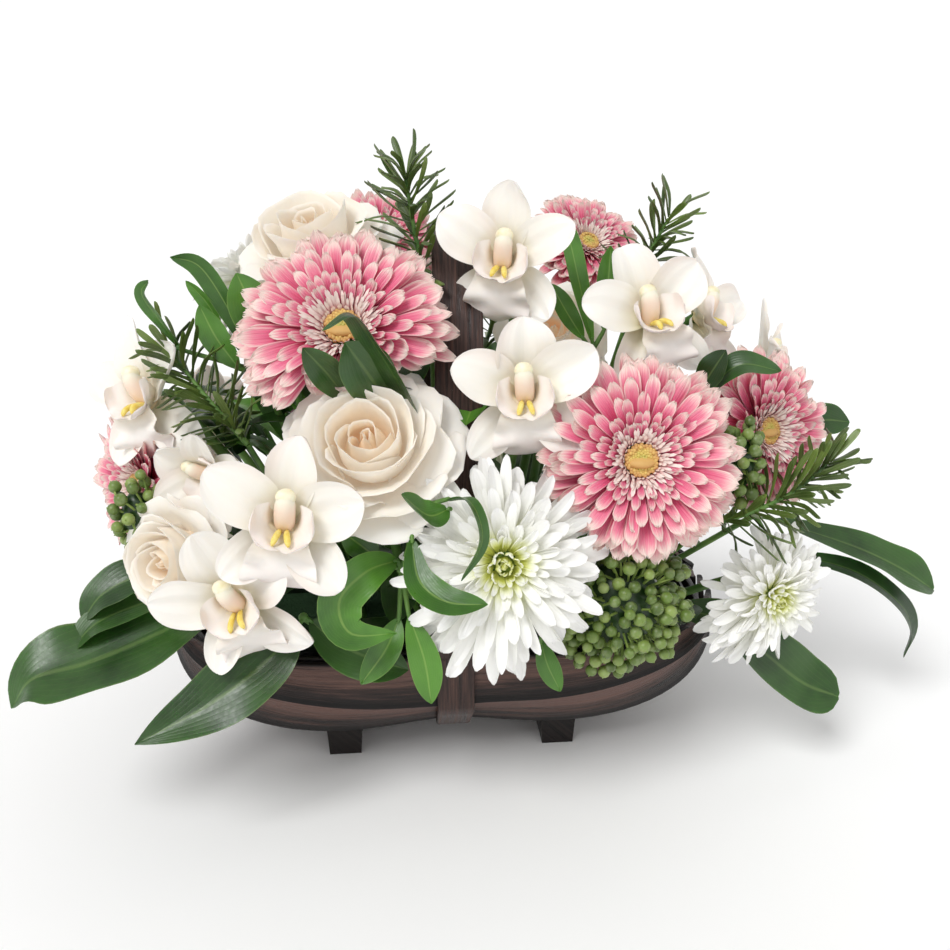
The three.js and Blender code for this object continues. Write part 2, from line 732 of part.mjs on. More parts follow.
// Berries on thin stalks round a slim core, even on all sides.
const berries = {
  core(item) {
    return ball(at(item.place), item.radii.map((r) => r * BERRY_CORE));
  },
  petals(item) {
    const centre = at(item.place);
    const random = seeded(item.seed);
    const kept = [];
    for (let i = 0; i < item.count; i += 1) {
      const z = 1 - (2 * (i + 0.5)) / item.count;
      const turn = i * GOLDEN_TURN;
      const flat = Math.sqrt(1 - z * z);
      const deep = 0.84 + 0.16 * random();
      const way = vec(flat * Math.cos(turn), flat * Math.sin(turn), z).multiplyScalar(deep);
      way.multiply(at(item.radii));
      const found = firstClear(item.name, [1, 0.85], (reach, margin) => {
        const tip = centre.clone().addScaledVector(way, reach);
        const half = item.berry + margin;
        const beyond = tip.clone().add(tip.clone().sub(centre).setLength(half * BERRY_FORM.tip));
        const root = centre.clone().addScaledVector(way, BERRY_ROOT);
        const ring = ringAround(tip, beyond, half * BERRY_FORM.waist, BERRY_FORM.sides);
        return skin([[root], ring, [beyond]]);
      });
      if (found) kept.push(found);
    }
    return kept;
  },
};

function ringAround(place, towards, radius, sides) {
  const along = towards.clone().sub(place).normalize();
  const aside = Math.abs(along.z) < 0.9 ? vec(0, 0, 1) : vec(1, 0, 0);
  const side = new THREE.Vector3().crossVectors(along, aside).normalize();
  const other = new THREE.Vector3().crossVectors(along, side);
  return Array.from({ length: sides }, (_, k) => {
    const turn = (2 * Math.PI * k) / sides;
    return place
      .clone()
      .addScaledVector(side, radius * Math.cos(turn))
      .addScaledVector(other, radius * Math.sin(turn));
  });
}

const SPRIG_RADII = [1.7, 1.6, 1.4, 1];
const NEEDLE = { half: 1.15, sides: 3, last: 0.96, leans: [58, 16], shrink: 0.75 };

// A rosemary sprig: one slim stem through the given places and needles in crossed pairs.
const rosemary = {
  core(item) {
    const line = new THREE.CatmullRomCurve3(item.line.map(at));
    return bar(line.getPoints(SPRIG_RADII.length - 1), SPRIG_RADII);
  },
  petals(item) {
    const line = new THREE.CatmullRomCurve3(item.line.map(at));
    const random = seeded(item.seed);
    const kept = [];
    for (let i = 0; i < item.needles; i += 1) {
      const t = mix(item.bare, NEEDLE.last, i / (item.needles - 1));
      const along = line.getTangent(t);
      const side = new THREE.Vector3().crossVectors(along, vec(0.3, 0.2, 1)).normalize();
      const out = side.applyAxisAngle(along, i * GOLDEN_TURN);
      const lean = rad(mix(...NEEDLE.leans, t ** 2)) + (random() - 0.5) * 0.3;
      const way = out.multiplyScalar(Math.sin(lean)).addScaledVector(along, Math.cos(lean));
      const length = item.needle * mix(1, NEEDLE.shrink, t) * (0.8 + 0.3 * random());
      const root = line.getPoint(t);
      const found = firstClear(item.name, [1, 0.75, 0.5], (reach, margin) => {
        const tip = root.clone().addScaledVector(way, length * reach + margin);
        const middle = root.clone().addScaledVector(way, length * reach * 0.5);
        const ring = ringAround(middle, tip, NEEDLE.half + margin, NEEDLE.sides);
        return skin([[root.clone()], ring, [tip]]);
      });
      if (found) kept.push(found);
    }
    return kept;
  },
};

const LEAF_WIDTHS = {
  oval: [[0.28, 0.9], [0.68, 0.9]],
  broad: [[0.12, 0.6], [0.36, 1], [0.64, 0.98], [0.86, 0.62]],
  blunt: [[0.15, 0.6], [0.45, 0.95], [0.88, 0.95]],
  narrow: [[0.2, 0.7], [0.55, 1], [0.85, 0.65]],
};

const LEAF_THICK = 1.5;
const LEAF_CUP = 0.18;
const BROAD_LEAF = 19; // leaves from this width up have a rib above
const LEAF_SHIFTS = [0, 2, -2, 4, -4, 7, -7, 10, 14, -10, 18];
const STALK_RADII = [1.5, 1.2];
const STALK_END = 0.12; // how far along its blade a stalk reaches
const NODE_SWELL = 1.5; // a leafy stem's top, in stem radii

// A leaf's blade along its midrib. At its root its upper face looks towards up. A bend moves its tip
// end. It curls without twisting, because each station's cross line is carried on from the last one.
function leafBlade(leaf, shift, margin) {
  const up = facing(leaf.up);
  const places = leaf.line.map(at);
  const line = new THREE.CatmullRomCurve3(
    places.map((p, i) => p.addScaledVector(up, (shift * Math.min(i, 2)) / 2)),
  );
  let last = new THREE.Vector3().crossVectors(up, line.getTangent(0));
  const stations = LEAF_WIDTHS[leaf.outline ?? "oval"].map(([t, share]) => {
    const along = line.getTangent(t);
    const across = last.clone().projectOnPlane(along).normalize();
    last = across;
    const normal = new THREE.Vector3().crossVectors(along, across).normalize();
    return { place: line.getPoint(t), across, up: normal, half: (share * leaf.width) / 2 + margin };
  });
  const thick = LEAF_THICK + 2 * margin;
  return blade(line.getPoint(0), stations, line.getPoint(1), thick, LEAF_CUP, leaf.width >= BROAD_LEAF);
}

// A leafy stem: its stem ends in a small node where its leaves' stalks join.
const leafy = {
  core(item) {
    const swell = item.stem * NODE_SWELL;
    return ball(at(item.place), [swell, swell, swell]);
  },
  petals(item) {
    const kept = [];
    const heart = at(item.place);
    item.leaves.forEach((leaf, k) => {
      const base = at(leaf.line[0]);
      const found = firstClear(item.name, LEAF_SHIFTS, (shift, margin) => {
        const solid = leafBlade(leaf, shift, margin);
        if (base.distanceTo(heart) < item.stem) return solid;
        const over = at(leaf.line[0]).lerp(at(leaf.line[1]), STALK_END);
        return solid.add(bar([heart, over], STALK_RADII.map((radius) => radius + margin)));
      });
      if (!found) throw new Error(`${item.name} has no room for leaf ${k}`);
      kept.push(found);
    });
    return kept;
  },
};

const KINDS = { gerbera, mum, rose, orchid, berries, rosemary, leafy };

// What stands in the foam, front ones first. place is the middle of a head's face, face is the way it
// looks as [azimuth, elevation], and back and neck are how far behind it the stem starts and bends.

const HEADS = [
  {
    name: "gerbera_front", kind: "gerbera", place: [90, -116, 204], face: [-2, 20],
    size: 106, rays: 18, inner: 8, fine: true,
  },
  {
    name: "mum_front", kind: "mum", place: [21, -134, 160], face: [-4, 14], size: 110,
    rays: 13, fine: true,
  },
  { name: "rose_front", kind: "rose", place: [-41, -100, 206], face: [-8, 42], size: 98, roll: 30 },
  {
    name: "orchid_spray_left_front",
    kind: "orchid",
    place: [-82, -126, 182],
    face: [2, 22],
    size: 84,
    roll: -8,
    more: [{ place: [-108, -122, 140], face: [-8, 8], size: 80, roll: 20 }],
  },
  {
    name: "gerbera_upper_left", kind: "gerbera", place: [-53, -80, 264], face: [-6, 38],
    size: 114, rays: 14, inner: 6,
  },
  {
    name: "orchid_spray_middle",
    kind: "orchid",
    place: [35, -98, 234],
    face: [-8, 18],
    size: 80,
    roll: 4,
    more: [{ place: [29, -54, 292], face: [-12, 20], size: 80, roll: -6 }],
  },
  {
    name: "orchid_spray_right",
    kind: "orchid",
    place: [103, -62, 262],
    face: [14, 34],
    size: 80,
    roll: 12,
    more: [{ place: [142, -24, 256], face: [52, 26], size: 78, roll: -20 }],
  },
  {
    name: "orchid_spray_left",
    kind: "orchid",
    place: [-157, -46, 222],
    face: [-38, 22],
    foot: [-58, -4, 74],
    size: 84,
    roll: 18,
    more: [{ place: [-124, -76, 190], face: [-24, 8], size: 62, roll: 60, close: 22 }],
  },
  {
    name: "gerbera_right", kind: "gerbera", place: [174, -62, 200], face: [26, 16],
    size: 96, rays: 11, inner: 5,
  },
  {
    name: "gerbera_left", kind: "gerbera", place: [-168, -44, 172], face: [-50, 8],
    size: 98, rays: 9, inner: 4, foot: [-94, -18, 66],
  },
  {
    name: "rose_left", kind: "rose", place: [-139, -98, 152], face: [-30, 12], size: 72,
    rings: [0, 1, 3],
  },
  {
    name: "rose_top", kind: "rose", place: [-68, -20, 292], face: [-30, 64], size: 92,
    roll: 10, rings: [0, 1, 3],
  },
  { name: "mum_right", kind: "mum", place: [172, -98, 118], face: [20, -4], size: 84, rings: 3 },
  {
    name: "gerbera_top", kind: "gerbera", place: [-36, 26, 296], face: [12, 50], size: 78,
    rays: 8, inner: 3,
  },
  {
    name: "gerbera_top_right", kind: "gerbera", place: [88, 24, 292], face: [20, 45],
    size: 78, rays: 8, inner: 3,
  },
  {
    name: "rose_behind", kind: "rose", place: [60, -26, 248], face: [-6, 30], size: 66,
    rings: [3],
  },
  { name: "orchid_back_right", kind: "orchid", place: [192, -2, 222], face: [70, 24], size: 74 },
  {
    name: "mum_back_left", kind: "mum", place: [-108, 14, 276], face: [-140, 44], size: 74,
    rings: 3, rays: 9,
  },
  {
    name: "gerbera_back", kind: "gerbera", place: [-78, 86, 204], face: [-160, 28],
    size: 92, rays: 9, inner: 3,
  },
  {
    name: "rose_back", kind: "rose", place: [78, 84, 206], face: [160, 34], size: 80,
    rings: [1, 3],
  },
  { name: "mum_back", kind: "mum", place: [44, 112, 150], face: [172, 18], size: 92, rings: 3 },
  {
    name: "orchid_spray_back",
    kind: "orchid",
    place: [-146, 52, 176],
    face: [-130, 22],
    size: 80,
    more: [{ place: [-18, 70, 244], face: [178, 34], size: 80 }],
    foot: [-60, 20, 70],
  },
  {
    name: "berries_front",
    kind: "berries",
    place: [86, -108, 122],
    face: [0, 10],
    foot: [66, -14, 64],
    radii: [38, 27, 40],
    berry: 3,
    count: 26,
  },
  {
    name: "berries_right", kind: "berries", place: [150, -92, 192], face: [20, 10],
    radii: [13, 12, 24], foot: [84, -20, 92], berry: 2.9, count: 10,
  },
  {
    name: "berries_left", kind: "berries", place: [-162, -82, 170], face: [-40, 10],
    radii: [14, 12, 22], berry: 2.9, count: 10,
  },
];

const SPRIGS = [
  {
    name: "rosemary_top",
    line: [[-8, -34, 268], [-14, -34, 300], [-18, -34, 330], [-20, -36, 348]],
    needles: 14,
  },
  {
    name: "rosemary_top_right",
    line: [[112, -8, 270], [118, -8, 290], [128, -10, 312]],
    needles: 11,
  },
  {
    name: "rosemary_right", foot: [92, -46, 84],
    line: [[132, -98, 160], [160, -98, 168], [184, -90, 176], [206, -80, 188]],
    needles: 17,
  },
  {
    name: "rosemary_left",
    line: [[-104, -80, 206], [-116, -76, 220], [-130, -68, 236], [-142, -60, 250]],
    needles: 15,
  },
  { name: "rosemary_back", line: [[30, 78, 210], [38, 88, 234], [44, 94, 262]], needles: 9 },
];

const LEAFY = [
  {
    name: "leaves_left",
    place: [-126, -86, 118],
    foot: [-88, -40, 64],
    early: true,
    leaves: [
      {
        line: [
          [-123, -88, 123], [-153, -105, 114], [-186, -118, 106], [-211, -124, 102], [-222, -128, 88],
        ],
        width: 46, outline: "broad", up: [-10, 60],
      },
      {
        line: [[-132, -84, 129], [-158, -96, 128], [-183, -104, 121], [-197, -110, 108]],
        width: 20, up: [-20, 60],
      },
      {
        line: [[-135, -78, 138], [-162, -90, 140], [-181, -96, 133], [-192, -100, 120]],
        width: 22, up: [-20, 50],
      },
    ],
  },
  {
    name: "leaf_front_left",
    place: [-79, -108, 121],
    foot: [-56, -42, 60],
    early: true,
    leaves: [
      {
        line: [[-81, -112, 119], [-100, -122, 102], [-126, -132, 87], [-161, -142, 73]],
        width: 34, outline: "broad", up: [0, 45],
      },
      {
        line: [[-76, -106, 118], [-62, -110, 106], [-44, -114, 98], [-26, -116, 92]],
        width: 26, up: [0, 40],
      },
    ],
  },
  {
    name: "leaves_right",
    place: [186, -34, 138],
    leaves: [
      {
        line: [[197, -38, 136], [246, -42, 119], [276, -46, 105], [298, -50, 91]],
        width: 28, outline: "blunt", up: [10, 55],
      },
      {
        line: [[199, -40, 116], [246, -44, 104], [276, -50, 84], [287, -52, 65], [284, -54, 46]],
        width: 17, outline: "narrow", up: [10, 55],
      },
    ],
  },
  {
    name: "leaf_right_broad",
    early: true,
    place: [124, -70, 96],
    foot: [88, -44, 72],
    leaves: [
      {
        line: [[128, -72, 98], [154, -80, 93], [178, -84, 74], [203, -88, 54], [224, -92, 46]],
        width: 36, outline: "blunt", up: [0, 50],
      },
      { line: [[128, -76, 100], [128, -92, 106], [122, -102, 104]], width: 18, up: [0, 40] },
    ],
  },
  {
    name: "leaves_folded",
    early: true,
    place: [-20, -82, 200],
    leaves: [
      {
        line: [[-11, -90, 203], [-24, -103, 236], [-37, -113, 262], [-48, -117, 278], [-60, -123, 272]],
        width: 20, outline: "narrow", up: [-50, 20],
      },
      { line: [[-29, -90, 224], [-41, -104, 247], [-51, -110, 264]], width: 26, up: [10, 10] },
      { line: [[-52, -94, 232], [-60, -106, 248], [-70, -116, 263]], width: 16, up: [0, 20] },
    ],
  },
  {
    name: "leaves_upper_right",
    early: true,
    place: [127, -70, 216],
    foot: [70, -8, 88],
    leaves: [
      { line: [[127, -78, 223], [134, -82, 239], [140, -84, 251]], width: 15, up: [-40, 20] },
      { line: [[131, -80, 225], [147, -84, 243], [168, -90, 241]], width: 14, up: [0, 60] },
    ],
  },
  {
    name: "leaf_far_right",
    place: [196, -38, 190],
    foot: [96, -6, 82],
    leaves: [{ line: [[202, -40, 193], [218, -38, 198], [236, -36, 196]], width: 20, up: [10, 40] }],
  },
  {
    name: "leaves_upper_left",
    early: true,
    place: [-98, -56, 238],
    colour: "leafy_bright",
    leaves: [
      { line: [[-83, -62, 244], [-97, -60, 268], [-106, -58, 289]], width: 24, up: [0, 10] },
      {
        line: [[-105, -58, 253], [-112, -56, 271], [-124, -56, 292], [-138, -56, 297]],
        width: 12, outline: "narrow", up: [-30, 40],
      },
      { line: [[-108, -62, 241], [-118, -62, 257], [-125, -62, 274]], width: 15, up: [-10, 10] },
      { line: [[-116, -54, 260], [-123, -54, 274], [-132, -54, 285]], width: 8, up: [-30, 20] },
      {
        line: [[-136, -60, 251], [-145, -62, 266], [-152, -64, 280], [-148, -64, 287]],
        width: 9, up: [-50, 20],
      },
    ],
  },
  {
    name: "leaves_middle_right",
    early: true,
    place: [78, -50, 244],
    colour: "leafy_bright",
    leaves: [
      {
        line: [[78, -52, 248], [70, -50, 280], [64, -48, 303], [58, -46, 316]],
        width: 11, outline: "narrow", up: [10, 10],
      },
      { line: [[84, -50, 255], [86, -46, 279], [87, -44, 299]], width: 12, up: [-20, 10] },
      { line: [[72, -56, 252], [62, -58, 267], [53, -60, 282]], width: 11, up: [0, 20] },
    ],
  },
  {
    name: "leaves_front",
    early: true,
    place: [-28, -112, 148],
    colour: "leafy_bright",
    leaves: [
      {
        line: [[-30, -118, 156], [-47, -130, 160], [-64, -138, 151], [-56, -143, 133], [-31, -141, 129]],
        width: 22, outline: "broad", up: [-10, 20],
      },
      { line: [[-39, -112, 154], [-48, -118, 165], [-56, -122, 174]], width: 14, up: [0, 20] },
      {
        line: [[-23, -130, 174], [-20, -143, 159], [-8, -153, 152], [11, -158, 151]],
        width: 16, up: [0, 50],
      },
      { line: [[-30, -122, 126], [-37, -130, 113], [-50, -134, 96]], width: 15, up: [0, 30] },
      { line: [[-25, -124, 128], [-18, -132, 107], [-15, -136, 84]], width: 16, up: [0, 20] },
    ],
  },
  {
    name: "leaf_front_arc",
    early: true,
    place: [-20, -120, 184],
    foot: [-34, -38, 72],
    colour: "leafy_bright",
    leaves: [
      { line: [[-4, -130, 189], [-14, -138, 190], [-27, -146, 203]], width: 15, up: [0, 40] },
      {
        line: [[-6, -132, 193], [4, -148, 198], [9, -156, 182], [-1, -158, 163]],
        width: 8, outline: "narrow", up: [40, 40],
      },
    ],
  },
  {
    name: "leaves_mum",
    early: true,
    place: [48, -108, 130],
    foot: [30, -36, 86],
    colour: "leafy_bright",
    leaves: [
      { line: [[64, -118, 174], [56, -126, 167], [54, -130, 155]], width: 13, up: [0, 30] },
      { line: [[44, -112, 104], [47, -118, 92], [54, -120, 77]], width: 12, up: [0, 30] },
    ],
  },
  {
    name: "leaves_back_left",
    place: [-108, 76, 128],
    leaves: [
      {
        line: [[-112, 80, 128], [-146, 104, 112], [-176, 118, 96], [-196, 124, 78]],
        width: 34, outline: "blunt", up: [-170, 55],
      },
      { line: [[-90, 82, 124], [-84, 118, 112], [-88, 144, 88]], width: 24, up: [180, 50] },
    ],
  },
  {
    name: "leaves_back_right",
    place: [106, 76, 128],
    leaves: [
      {
        line: [[110, 80, 128], [150, 100, 118], [184, 112, 96], [204, 118, 74]],
        width: 32, outline: "blunt", up: [170, 55],
      },
      { line: [[88, 82, 124], [72, 120, 112], [64, 146, 86]], width: 24, up: [180, 50] },
    ],
  },
  {
    name: "leaves_collar_front",
    place: [-10, -63, 96],
    foot: [-10, -42, 88],
    leaves: [
      {
        line: [[-14, -70, 93], [-38, -76, 93], [-62, -74, 92]],
        width: 19, outline: "narrow", up: [0, 70],
      },
      {
        line: [[-6, -70, 93], [30, -76, 94], [66, -73, 93]],
        width: 19, outline: "narrow", up: [0, 70],
      },
    ],
  },
  {
    name: "leaves_collar_back",
    place: [12, 64, 98],
    foot: [12, 40, 92],
    leaves: [
      {
        line: [[16, 68, 99], [52, 86, 98], [100, 92, 90]],
        width: 22, outline: "narrow", up: [180, 70],
      },
      {
        line: [[8, 68, 99], [-34, 86, 98], [-78, 94, 90]],
        width: 22, outline: "narrow", up: [180, 70],
      },
    ],
  },
];

// Putting the pieces together

// What each kind of plant shares: its stem's radius, and how far behind the head its stem starts and
// bends.
const KIND_DEFAULTS = {
  gerbera: { stem: 3, back: 7, neck: 18 },
  mum: { stem: 2.5, back: 8, neck: 14 },
  rose: { stem: 3, back: 9, neck: 14 },
  orchid: { stem: 3, back: 4, neck: 14 },
  berries: { stem: 2.2, back: 2, neck: 0 },
  rosemary: { stem: 1.5, back: 0, neck: 0, bare: 0.12, needle: 20 },
  leafy: { stem: 2, back: 0, neck: 0 },
};

const SIDE_STALK = 0.8; // a side stalk's radius as a share of its stem's

// A sprig's stem runs on straight below its line.
function sprigPlant(sprig) {
  const [first, second] = sprig.line.map(at);
  const way = second.sub(first).normalize();
  const azimuth = THREE.MathUtils.radToDeg(Math.atan2(way.x, -way.y));
  const elevation = THREE.MathUtils.radToDeg(Math.asin(way.z));
  return { kind: "rosemary", place: sprig.line[0], face: [azimuth, elevation], ...sprig };
}

function listPlants() {
  const leaves = LEAFY.map((item) => ({ kind: "leafy", face: [0, 60], ...item }));
  const plants = [...HEADS, ...SPRIGS.map(sprigPlant), ...leaves];
  return plants.map((item, k) => ({ ...KIND_DEFAULTS[item.kind], ...item, seed: FIRST_SEED + 10 * k }));
}

// The heads of one plant: its own and those of the rest of its spray.
function headsOf(item) {
  return [item, ...(item.more ?? []).map((head, k) => ({ ...item, ...head, seed: item.seed + 5 + k }))];
}

// The stalk of a spray's further head, from the neck of the first one.
function sideStalk(item, head) {
  const [, neck] = stemPoints(item);
  const [, ownNeck, ownBack] = stemPoints(head);
  const slim = item.stem * SIDE_STALK;
  return bar([neck, ownNeck, ownBack], [item.stem, slim, slim]);
}

// A plant without its petals: its stem, its cores and the stalks between them.
function plantBody(item) {
  const [, ...further] = headsOf(item);
  const cores = headsOf(item).map((head) => KINDS[item.kind].core(head, frameOf(head)));
  return joined([stem(item), ...cores, ...further.map((head) => sideStalk(item, head))]);
}

function plantPetals(item) {
  return headsOf(item).flatMap((head) => KINDS[item.kind].petals(head, frameOf(head)));
}

function addPiece(group, name, solid, colour) {
  const [shade, roughness] = COLOURS[colour];
  const material = new THREE.MeshStandardMaterial({ color: shade, roughness, metalness: 0 });
  const mesh = new THREE.Mesh(geometryOf(solid), material);
  mesh.name = name;
  group.add(mesh);
}

// The trug's own pieces come first, because the flowers keep clear of them.
function addTrug(group) {
  const pieces = boardBands().map((band) => [band.name, board(band), "board"]);
  pieces.push(["rim_hoop", rimHoop(), "board_dark"]);
  pieces.push(["handle_hoop", handleHoop(), "board"]);
  pieces.push(["foot_left", foot(-FOOT_X), "board_dark"]);
  pieces.push(["foot_right", foot(FOOT_X), "board_dark"]);
  pieces.push(["liner", liner(), "liner"]);
  for (const [name, solid, colour] of pieces) {
    addPiece(group, name, solid, colour);
    claim(name, solid);
  }
}

// The plants: first every stem and core, and then the petals, which bend clear of what is there.
function addPlants(group) {
  const plants = listPlants();
  for (const item of plants) {
    item.body = plantBody(item);
    const hits = crossed(item.body, item.name).map((hit) => hit.name);
    if (hits.length > 0) throw new Error(`${item.name} crosses ${hits.join(", ")}`);
    claim(item.name, item.body);
  }
  const foam = foamBlock();
  claim("foam", foam);
  const inOrder = [...plants.filter((item) => item.early), ...plants.filter((item) => !item.early)];
  for (const item of inOrder) {
    item.body = joined([item.body, ...plantPetals(item)]);
    claim(item.name, item.body);
  }
  const drilled = plants.reduce((left, item) => left.subtract(stemHole(item)), foam);
  addPiece(group, "foam", joined([drilled]), "foam");
  for (const item of plants) addPiece(group, item.name, item.body, item.colour ?? item.kind);
}

function arrangement() {
  const group = new THREE.Group();
  addTrug(group);
  addPlants(group);
  const outline = new THREE.Box3().setFromObject(group);
  const middle = outline.getCenter(vec(0, 0, 0));
  group.position.set(-middle.x, -middle.y, -outline.min.z);
  return group;
}

const group = arrangement();

export default group;
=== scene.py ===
# The looks of a flower basket arrangement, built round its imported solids.
# Places and sizes are millimetres from the middle of the trug on the floor, +Z up, front along -Y.
# A piece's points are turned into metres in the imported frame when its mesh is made.

import math
from typing import NamedTuple

import bpy
import numpy as np
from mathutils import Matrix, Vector


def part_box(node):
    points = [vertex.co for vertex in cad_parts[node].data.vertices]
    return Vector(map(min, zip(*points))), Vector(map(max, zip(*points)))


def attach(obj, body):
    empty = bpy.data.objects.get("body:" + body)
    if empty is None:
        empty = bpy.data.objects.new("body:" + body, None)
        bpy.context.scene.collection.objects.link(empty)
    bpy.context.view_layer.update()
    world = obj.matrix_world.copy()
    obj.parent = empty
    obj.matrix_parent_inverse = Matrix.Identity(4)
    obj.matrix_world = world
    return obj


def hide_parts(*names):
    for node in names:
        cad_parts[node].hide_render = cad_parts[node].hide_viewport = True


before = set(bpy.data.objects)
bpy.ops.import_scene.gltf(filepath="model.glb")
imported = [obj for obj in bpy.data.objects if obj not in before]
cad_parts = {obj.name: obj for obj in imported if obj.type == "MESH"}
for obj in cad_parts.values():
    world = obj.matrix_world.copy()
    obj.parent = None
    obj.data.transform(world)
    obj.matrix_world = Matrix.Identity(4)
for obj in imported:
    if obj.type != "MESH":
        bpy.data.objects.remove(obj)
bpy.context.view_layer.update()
MM = 0.001

FEET_LOW, FEET_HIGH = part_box("foot_left")[0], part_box("foot_right")[1]
ORIGIN = np.array([(FEET_LOW[0] + FEET_HIGH[0]) / 2, (FEET_LOW[1] + FEET_HIGH[1]) / 2, 0.0])
UP = np.array([0.0, 0.0, 1.0])
FULL_TURN = 2 * math.pi
GOLDEN_TURN = math.pi * (3 - math.sqrt(5))
SHARP_ANGLE = math.radians(70)
BLOOM_SEED, LEAFY_SEED, SPRIG_SEED, BOARD_SEED = 100, 500, 700, 800
HANDLE_SEED, RIM_SEED, FILL_SEED = 71, 72, 9

# Shapes of the trug, as in its solids

CLEAR = 0.35
RIM_HEIGHT = 86
FLOOR_HEIGHT = 22
HALF_LENGTH = 158
HALF_WIDTH = 97
PLAN_POWER = 3.2
SECTION_POWER = 3
WAIST = 0.07
WAIST_REACH = 50
END_FAN = math.radians(42)
BOARD_THICK = 3
LAP = 4
LAP_LIFT = 4.4
BOARD_EDGES = [math.radians(turn) for turn in (14, 37, 64, 90)]
HOOP_TOP = 306
HOOP_THICK = 3
HOOP_WIDTHS = (19.5, 26.5)
HOOP_SLACK = 1.2
HOOP_LEAN = 6
HOOP_POWER = 2.3
RIM_BAND = 11
RIM_BAND_THICK = 3.4
RIM_BAND_GAP = CLEAR + 0.9
RIM_BAND_SLOPES = (0.2, 0.27)


def smooth(value, low, high):
    """Eases from 0 at low to 1 at high."""
    share = np.clip((value - low) / (high - low), 0, 1)
    return share * share * (3 - 2 * share)


def unit(vectors):
    return vectors / np.maximum(np.linalg.norm(vectors, axis=-1, keepdims=True), 1e-9)


def facing(azimuth, elevation):
    """The direction that a face looks in: azimuth 0 is the front, 90 the right, 180 the back."""
    a, e = math.radians(azimuth), math.radians(elevation)
    return np.array([math.sin(a) * math.cos(e), -math.cos(a) * math.cos(e), math.sin(e)])


def azimuth_of(way):
    return math.degrees(math.atan2(way[0], -way[1]))


def head_frame(face, roll):
    """A head's axes as columns: z is the way it faces and y points up, turned by roll."""
    z = facing(*face)
    x = unit(np.cross(UP, z))
    y = np.cross(z, x)
    c, s = math.cos(math.radians(roll)), math.sin(math.radians(roll))
    return np.stack([x * c + y * s, y * c - x * s, z], 1)


def evenly(count, offset=0.0):
    """Turns spread evenly round a circle, moved on by a share of the step between them."""
    return FULL_TURN * (np.arange(count) + offset) / count


def crowded(count, power):
    """Shares from 0 to 1 that come closer together towards 1."""
    return 1 - (1 - np.linspace(0, 1, count)) ** power


def smooth_line(points, count):
    """A smooth line of count points through the given ones."""
    points = np.asarray(points, float)
    spans = len(points) - 1
    padded = np.vstack([2 * points[0] - points[1], points, 2 * points[-1] - points[-2]])
    place = np.linspace(0, spans, count)
    first = np.minimum(place.astype(int), spans - 1)
    f = (place - first)[:, None]
    a, b, c, d = (padded[first + k] for k in range(4))
    bend = 2 * a - 5 * b + 4 * c - d
    return 0.5 * (2 * b + (c - a) * f + bend * f**2 + (3 * b - a - 3 * c + d) * f**3)


def line_at(places, marks, line):
    """The points of a line at the places, where marks are those of its own points."""
    return np.stack([np.interp(places, marks, line[:, axis]) for axis in range(3)], -1)


def loop_ways(line):
    """The direction of a closed line at each of its points."""
    return unit(np.roll(line, -1, axis=0) - np.roll(line, 1, axis=0))


def carried(start, along):
    """A line square to each of the directions along, carried on from the one before it."""
    lines = []
    for way in along:
        start = unit(start - way * (start @ way))
        lines.append(start)
    return np.array(lines)


def grid_quads(index, flip=False):
    """The quads of a grid of point numbers. Their faces look along rows x columns."""
    a, b, c, d = index[:-1, :-1], index[:-1, 1:], index[1:, 1:], index[1:, :-1]
    order = [a, b, c, d] if flip else [a, d, c, b]
    return np.stack(order, axis=-1).reshape(-1, 4)


def toned(first, second, third):
    """The three numbers that a point carries for its material, for every point of a grid or ring."""
    return np.stack(np.broadcast_arrays(first, second, third), -1)


def add_object(name, data):
    made = bpy.data.objects.new(name, data)
    bpy.context.scene.collection.objects.link(made)
    return made


# How thick a petal or leaf of each material is
THICKNESS = {
    "gerbera": 0.45, "frill": 0.3, "mum": 0.45, "rose": 0.55, "orchid": 0.9, "lip": 0.8,
    "leaf": 0.55, "leaf_bright": 0.55, "needle": 0.9,
}


